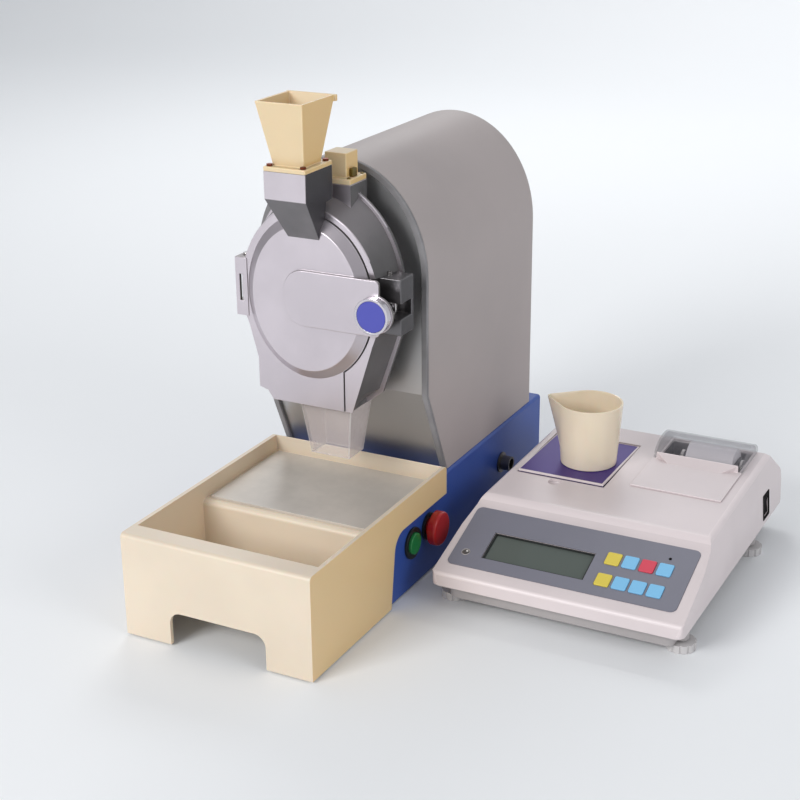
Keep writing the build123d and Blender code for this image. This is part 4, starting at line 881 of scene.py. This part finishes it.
class TESTER_OT_lock_knob(bpy.types.Operator):
    """Turn the lock knob and set its blue disc"""
    bl_idname = "tester.lock_knob"
    bl_label = "Lock knob"

    def execute(self, context):
        s = sizes()
        worked("knob_rim", "lock_knob", "knob_metal", s.fine_edge, 3)
        worked("knob_disc", "lock_knob_cap", "knob_blue", s.fine_edge, 3)
        return {"FINISHED"}


def on_chute(middle, along):
    """The chute's outer edges below the hopper's flange."""
    outside = not 91 < middle.x < 139 or middle.y < 166 or middle.y > 220
    return outside and middle.z < 479


class TESTER_OT_feed(bpy.types.Operator):
    """Cast the feed chute and screw the ivory hopper onto it"""
    bl_idname = "tester.feed"
    bl_label = "Feed chute and hopper"

    def execute(self, context):
        s = sizes()
        worked("feed_casting", "feed_chute", "chute_cast", 0.8 * s.casting_edge, 3, on_chute)
        worked("hopper_moulding", "hopper", "hopper_ivory", s.sheet_edge, 3, well_cut=True)
        coated("screw_brown", "hopper_screws")
        return {"FINISHED"}


class TESTER_OT_drive(bpy.types.Operator):
    """Finish the rotor, the spindle, the belt and the motor under the hood"""
    bl_idname = "tester.drive"
    bl_label = "Drive"

    def execute(self, context):
        coated("rotor_iron", "rotor_hub", "beater_bars")
        coated("shaft_steel", "spindle_shaft", "spindle_pulley", "motor_pulley")
        coated("bearing_steel", "spindle_bearings")
        coated("motor_grey", "spindle_housing", "motor")
        coated("belt_rubber", "drive_belt")
        return {"FINISHED"}


class TESTER_OT_buttons(bpy.types.Operator):
    """Fit the buttons, the side connector and the mains inlet to the base"""
    bl_idname = "tester.buttons"
    bl_label = "Buttons and sockets"

    def execute(self, context):
        s = sizes()
        worked("start_cap", "start_button", "start_green",
               s.button_edge, 4, lambda middle, along: middle.x > 230)
        coated("stop_red", "stop_button")
        worked("button_collars", "button_bodies", "switch_dark", s.fine_edge, 3)
        worked("side_plug", "side_connector", "connector_metal", 0.6 * s.fine_edge, 2)
        worked("mains_socket", "mains_inlet", "socket_black", s.fine_edge, 2)
        return {"FINISHED"}


# Weighing unit

def on_case(middle, along):
    """The ridges of the weighing unit's case, and not the edges of its openings."""
    over_openings = 281 < middle.x < 532 and 368 < middle.y < 558
    over_panel = 273.5 < middle.x < 538.5 and 212 < middle.y < 305.5
    over_switch = middle.x > 530 and 495 < middle.y < 535 and middle.z < 70
    inside = 266.5 < middle.x < 549.5 and 201.2 < middle.y < 585.2 and middle.z < deck_z(middle.y) - 2.8
    return middle.z > 33 and not (over_openings or over_panel or over_switch or inside)


def level(middle, along):
    """The edges that run level, without a foot's upright flutes."""
    return abs(along.z) < 0.3


class TESTER_OT_case(bpy.types.Operator):
    """Mould the weighing unit's case, its base tub and the levelling feet"""
    bl_idname = "tester.case"
    bl_label = "Case"

    def execute(self, context):
        s = sizes()
        worked("unit_case", "balance_housing", "case_grey", s.case_ridge, 4, on_case, well_cut=True)
        dish = lathe(((0, -7.6), (6.2, -7.0), (9.2, -4.2), (9.2, -3.1), (7.9, -3.1), (7.3, -4.2), (4.6, -5.5),
                      (0, -6.0)), bench(*THUMB_HOLE, deck_z(THUMB_HOLE[1])), (0, 0, 1), 40)
        piece("thumb_dish", dish, "case_grey")
        worked("unit_tub", "balance_base", "tub_grey", s.sheet_edge, 3)
        for n in range(1, 5):
            worked("foot_%d" % n, "level_foot_%d" % n, "foot_plastic", 0.6 * s.sheet_edge, 3, level)
        return {"FINISHED"}


class TESTER_OT_panel(bpy.types.Operator):
    """Lay the panel film with its display, keys, level and lamp"""
    bl_idname = "tester.panel"
    bl_label = "Panel"

    def execute(self, context):
        s = sizes()
        worked("panel_film", "panel_overlay", "overlay", 0.5 * s.fine_edge, 2)
        coated("lcd", "lcd_window")
        # A dark lining round the display's window, a painted shade for its recess.
        outer = rectangle(35.2, 153.8, 17.2, 58.8)
        inner = rectangle(37.0, 152.2, 19.0, 57.4)
        frame_rim = rim_of(outer, inner, 2.4, lambda a, b, h: on_panel(a, b, h - 3.0))
        piece("display_frame", rounded_off(frame_rim, s.fine_edge / 2, 2), "lcd_frame")
        colours = ("key_yellow", "key_blue", "key_blue", "key_blue",
                   "key_yellow", "key_blue", "key_red", "key_blue")
        for n, colour in enumerate(colours):
            worked("key_pad_%d" % (n + 1), "key_%d" % (n + 1), colour, s.key_edge, 3)
        up = on_panel(0, 0, 1) - on_panel(0, 0, 0)
        ring = lathe(((4.1, -1.0), (4.9, -1.0), (4.9, 0.9), (4.6, 1.2), (4.2, 1.0), (4.1, 0.2), (4.1, -1.0)),
                     on_panel(*LEVEL_AT), up)
        piece("level_ring", ring, "tub_grey")
        dome = lathe(((0, -1.2), (4.0, -1.2), (4.0, 0.3), (3.2, 0.9), (1.8, 1.25), (0, 1.35)),
                     on_panel(*LEVEL_AT), up)
        piece("level_vial", dome, "vial_glass")
        # The bubble sits to the upper right of the vial's middle; its light, glossy colour is the bubble and
        # a painted glint.
        bubble = lathe(((0, 0.9), (1.3, 0.95), (1.2, 1.3), (0.7, 1.55), (0, 1.6)),
                       on_panel(16.3, 22.2, 0), up, 24)
        piece("level_bubble", bubble, "air_bubble")
        lamp = lathe(((0, 0.5), (1.7, 0.5), (1.7, 1.1), (1.2, 1.7), (0.6, 1.95), (0, 2.0)),
                     on_panel(*LAMP_AT), up, 24)
        piece("status_lamp", lamp, "rocker_black")
        return {"FINISHED"}


def cup_radius(angle, rise):
    """The cup's outside at an angle from its spout and a share of its height, in mm."""
    radius = 33 + 5.5 * rise
    tip = radius + 18 * rise ** 1.1
    touch = acos(radius / tip)
    return radius / cos(max(0.0, touch - abs(angle)))


def cup_mesh(steps=112):
    """The weighing cup: a tapered beaker with a spout to the left and a rounded rim."""
    floor, wall, rim_z, levels, smoothings = 2.3, 2.3, 76.0, 12, 2
    sides = [2.2 + (rim_z - 4.0) * n / levels for n in range(1, levels)]
    stations = [(6.0, 0.0), (1.2, 0.0), (0.25, 0.7), (0.0, 2.2)]
    stations += [(0.0, height) for height in sides]
    stations += [(0.0, rim_z - 1.3), (0.3, rim_z - 0.4), (1.15, rim_z), (2.0, rim_z - 0.4)]
    stations += [(wall, rim_z - 1.3)]
    stations += [(wall, height) for height in reversed(sides)]
    stations += [(wall + 0.1, 4.2), (wall + 1.6, 2.7), (wall + 6.0, floor)]
    mesh = bmesh.new()
    rings = [[mesh.verts.new(bench(*CUP_AT, CUP_FOOT_Z))]]
    angles = [2 * pi * n / steps - pi for n in range(steps)]
    for inset, height in stations:
        radii = [cup_radius(angle, height / rim_z) for angle in angles]
        for _ in range(smoothings):
            radii = [(radii[n - 1] + 2 * radii[n] + radii[(n + 1) % steps]) / 4 for n in range(steps)]
        rings.append([mesh.verts.new(bench(CUP_AT[0] - (radius - inset) * cos(angle),
                                           CUP_AT[1] - (radius - inset) * sin(angle), CUP_FOOT_Z + height))
                      for angle, radius in zip(angles, radii)])
    rings.append([mesh.verts.new(bench(*CUP_AT, CUP_FOOT_Z + floor))])
    skin(mesh, rings)
    return mesh


class TESTER_OT_pan(bpy.types.Operator):
    """Set the weighing pan on its load cell, with its lip and the cup"""
    bl_idname = "tester.pan"
    bl_label = "Pan and cup"

    def execute(self, context):
        s = sizes()
        worked("pan_sheet", "weigh_pan", "pan_violet", s.fine_edge, 2)
        outer = rectangle(286.8, 392.2, 387.8, 514.2)
        inner = rectangle(287.9, 389.8, 390.4, 513.3)
        lip = rim_of(outer, inner, 2.4, lambda a, b, h: bench(a, b, 95.4 + h))
        piece("pan_lip", rounded_off(lip, 0.8 * s.fine_edge, 2), "case_grey", "weigh_pan")
        coated("cell_alloy", "load_cell")
        piece("cup_moulding", cup_mesh(), "cup_ivory", "weigh_cup", ("weigh_cup",))
        return {"FINISHED"}


def gear(x0, x1, y, z, radius, teeth):
    """A spur gear on an axis along X, with a hub and a bore."""
    mesh = bmesh.new()
    outline, tooth = [], 1.1
    for n in range(teeth * 4):
        reach = radius if n % 4 in (0, 1) else radius - tooth
        angle = 2 * pi * (n + 0.5) / (teeth * 4)
        outline.append((reach, angle))

    def ring(x, grow, shape):
        return [mesh.verts.new(bench(x, y + grow * r * cos(a), z + grow * r * sin(a))) for r, a in shape]

    round_shape = [(radius, a) for _, a in outline]
    hub = 0.7 * (x1 - x0)
    rings = [ring(x0, 0.16, round_shape), ring(x0, 1.0, outline), ring(x1, 1.0, outline),
             ring(x1, 0.78, round_shape), ring(x1 - 0.5, 0.72, round_shape), ring(x1 - 0.5, 0.4, round_shape),
             ring(x1 + hub, 0.36, round_shape), ring(x1 + hub, 0.16, round_shape)]
    rings.append(rings[0])
    skin(mesh, rings)
    return mesh


class TESTER_OT_printer(bpy.types.Operator):
    """Fit the printer's lid, smoky cover, mechanism and paper roll"""
    bl_idname = "tester.printer"
    bl_label = "Printer"

    def execute(self, context):
        s = sizes()
        worked("lid_flap", "printer_lid", "case_grey", 0.8 * s.sheet_edge, 3)
        self.scoop(s)
        worked("cover_shell", "printer_cover", "cover_smoky",
               0.6 * s.fine_edge, 2, lambda middle, along: middle.z > 104)
        worked("printer_frame", "printer_mechanism", "mechanism", 0.8 * s.fine_edge, 2)
        for n, (x0, x1, y, z, radius, teeth) in enumerate((
                (443.0, 446.6, ROLL_Y, ROLL_Z, 9.5, 22), (441.0, 444.6, 507, 85, 6.5, 16),
                (515.0, 517.5, ROLL_Y, ROLL_Z, 9.0, 22), (515.0, 517.5, 508, 84, 6.2, 16))):
            mesh = gear(x0, x1, y, z, radius, teeth)
            piece("printer_gear_%d" % (n + 1), mesh, "gear_white")
        worked("roll_of_paper", "paper_roll", "paper", s.fine_edge, 2)
        return {"FINISHED"}

    def scoop(self, s):
        """The sloping lip at the lid's rear edge, wider at its top."""
        low_y, high_y, back_y, foot, top = 474.0, 484.4, 485.8, 2.0, 10.2
        corners = ((low_y, foot, 441.0, 504.0), (high_y, top, 423.2, 521.8),
                   (back_y, top, 423.2, 521.8), (back_y, foot, 425.0, 520.0))
        mesh = bmesh.new()
        left = [mesh.verts.new(bench(x0, y, deck_z(y) + rise)) for y, rise, x0, x1 in corners]
        right = [mesh.verts.new(bench(x1, y, deck_z(y) + rise)) for y, rise, x0, x1 in corners]
        mesh.faces.new(left)
        mesh.faces.new(right)
        for n in range(len(corners)):
            m = (n + 1) % len(corners)
            mesh.faces.new((left[n], left[m], right[m], right[n]))
        bmesh.ops.recalc_face_normals(mesh, faces=mesh.faces)
        piece("lid_scoop", rounded_off(mesh, s.fine_edge, 3), "case_grey")


class TESTER_OT_rocker(bpy.types.Operator):
    """Fit the power rocker and its dark frame"""
    bl_idname = "tester.rocker"
    bl_label = "Power rocker"

    def execute(self, context):
        s = sizes()
        worked("rocker_cap", "power_rocker", "rocker_black", s.fine_edge, 3)

        def on_side(y, z, out):
            return bench(side_x(z) - 0.6 + out, y, z)

        outer = rectangle(502.2, 527.8, 36.2, 67.8, 1.5)
        inner = rectangle(505.3, 524.7, 39.3, 64.7, 0.6)
        frame_rim = rim_of(outer, inner, 1.3, on_side)
        piece("rocker_frame", rounded_off(frame_rim, 0.7 * s.fine_edge, 2), "rocker_black")
        return {"FINISHED"}


# Stage

def soft_light(name, place, target, size, power):
    """A rectangular lamp aimed at the target, in metres and watts."""
    data = bpy.data.lights.new(name, "AREA")
    data.shape = "RECTANGLE"
    data.size, data.size_y = size
    data.energy = power
    lamp = bpy.data.objects.new(name, data)
    lamp.location = Vector(place)
    lamp.rotation_euler = (Vector(target) - Vector(place)).to_track_quat("-Z", "Y").to_euler()
    bpy.context.scene.collection.objects.link(lamp)


class TESTER_OT_stage(bpy.types.Operator):
    """Lay the floor, hang the soft lights and set up the camera"""
    bl_idname = "tester.stage"
    bl_label = "Stage"

    azimuth: angle_property("Azimuth", "Camera's turn to the right", 27.46)
    elevation: angle_property("Elevation", "Camera's height above the horizon", 20.968)
    roll: angle_property("Roll", "Camera's turn about its own line of sight", -0.5086)
    lens: bpy.props.FloatProperty(name="Lens", description="Focal length for a 36 mm sensor", default=72.06)

    def execute(self, context):
        self.floor()
        soft_light("key_light", (-1.1, -3.0, 1.75), (-0.05, 0, 0.2), (1.5, 1.2), 67)
        soft_light("fill_light", (3.0, -0.9, 1.5), (0, 0, 0.2), (1.6, 1.6), 24)
        soft_light("ridge_light", (-1.35, 2.1, 2.1), (0, 0, 0.1), (1.3, 0.7), 17)
        soft_light("backdrop_light", (0, 2.9, 3.6), (0, 5.2, 0.6), (5.0, 1.0), 80)
        world = bpy.data.worlds.new("studio")
        world.use_nodes = True
        world.node_tree.nodes["Background"].inputs["Color"].default_value = (0.94, 0.96, 1.0, 1.0)
        world.node_tree.nodes["Background"].inputs["Strength"].default_value = 0.39
        context.scene.world = world
        context.scene.view_settings.view_transform = "Standard"
        self.camera(context)
        return {"FINISHED"}

    def floor(self):
        """A floor that curves up into the background, just under the feet."""
        mesh = bmesh.new()
        half, back, rise, top, steps, gap = 9.0, 5.5, 2.5, 7.0, 14, 0.0002
        path = [(-half, 0.0), (back - rise, 0.0)]
        path += [(back - rise + rise * sin(pi / 2 * n / steps), rise - rise * cos(pi / 2 * n / steps))
                 for n in range(1, steps + 1)]
        path.append((back, top))
        rows = [[mesh.verts.new((x, y, z - gap)) for x in (-half, half)] for y, z in path]
        for a, b in zip(rows, rows[1:]):
            mesh.faces.new((a[0], a[1], b[1], b[0]))
        data = bpy.data.meshes.new("floor")
        mesh.to_mesh(data)
        mesh.free()
        data.shade_smooth()
        data.materials.append(finish_named("floor"))
        floor = bpy.data.objects.new("floor", data)
        bpy.context.scene.collection.objects.link(floor)

    def camera(self, context):
        """A camera that looks to the back and down, turned by the three angles."""
        facing = Vector((-sin(self.azimuth) * cos(self.elevation), cos(self.azimuth) * cos(self.elevation),
                         -sin(self.elevation)))
        level = facing.cross(Vector((0, 0, 1))).normalized()
        up = level.cross(facing)
        right = cos(self.roll) * level + sin(self.roll) * up
        up = cos(self.roll) * up - sin(self.roll) * level
        data = bpy.data.cameras.new("camera")
        data.sensor_width = 36
        data.lens = self.lens
        data.clip_start, data.clip_end = 0.05, 50
        camera = bpy.data.objects.new("camera", data)
        turn = Matrix((right, up, -facing)).transposed().to_4x4()
        camera.matrix_world = Matrix.Translation(bench(*CAMERA_AT)) @ turn
        context.scene.collection.objects.link(camera)
        context.scene.camera = camera


OPERATORS = (TESTER_OT_stage, TESTER_OT_tray, TESTER_OT_base, TESTER_OT_hood, TESTER_OT_chamber,
             TESTER_OT_door, TESTER_OT_lock_knob, TESTER_OT_feed, TESTER_OT_drive, TESTER_OT_buttons,
             TESTER_OT_case, TESTER_OT_panel, TESTER_OT_pan, TESTER_OT_printer, TESTER_OT_rocker)


class TESTER_PT_pieces(bpy.types.Panel):
    """Lists what the tester is built of"""
    bl_idname = "TESTER_PT_pieces"
    bl_label = "Grain hardness tester"
    bl_space_type = "VIEW_3D"
    bl_region_type = "UI"
    bl_category = "Tester"

    def draw(self, context):
        for operator in OPERATORS:
            self.layout.operator(operator.bl_idname)
        for group in (context.scene.tester_sizes, context.scene.tester_colours):
            for name in group.bl_rna.properties.keys():
                if name not in ("rna_type", "name"):
                    self.layout.prop(group, name)


CLASSES = (TesterColours, TesterSizes, *OPERATORS, TESTER_PT_pieces)


def register():
    for each in CLASSES:
        bpy.utils.register_class(each)
    bpy.types.Scene.tester_colours = bpy.props.PointerProperty(type=TesterColours)
    bpy.types.Scene.tester_sizes = bpy.props.PointerProperty(type=TesterSizes)


def unregister():
    del bpy.types.Scene.tester_sizes
    del bpy.types.Scene.tester_colours
    for each in reversed(CLASSES):
        bpy.utils.unregister_class(each)


def main():
    register()
    bpy.ops.tester.stage()
    bpy.ops.tester.tray()
    bpy.ops.tester.base()
    bpy.ops.tester.hood()
    bpy.ops.tester.chamber()
    bpy.ops.tester.door()
    bpy.ops.tester.lock_knob()
    bpy.ops.tester.feed()
    bpy.ops.tester.drive()
    bpy.ops.tester.buttons()
    bpy.ops.tester.case()
    bpy.ops.tester.panel()
    bpy.ops.tester.pan()
    bpy.ops.tester.printer()
    bpy.ops.tester.rocker()


if __name__ == "__main__":
    main()
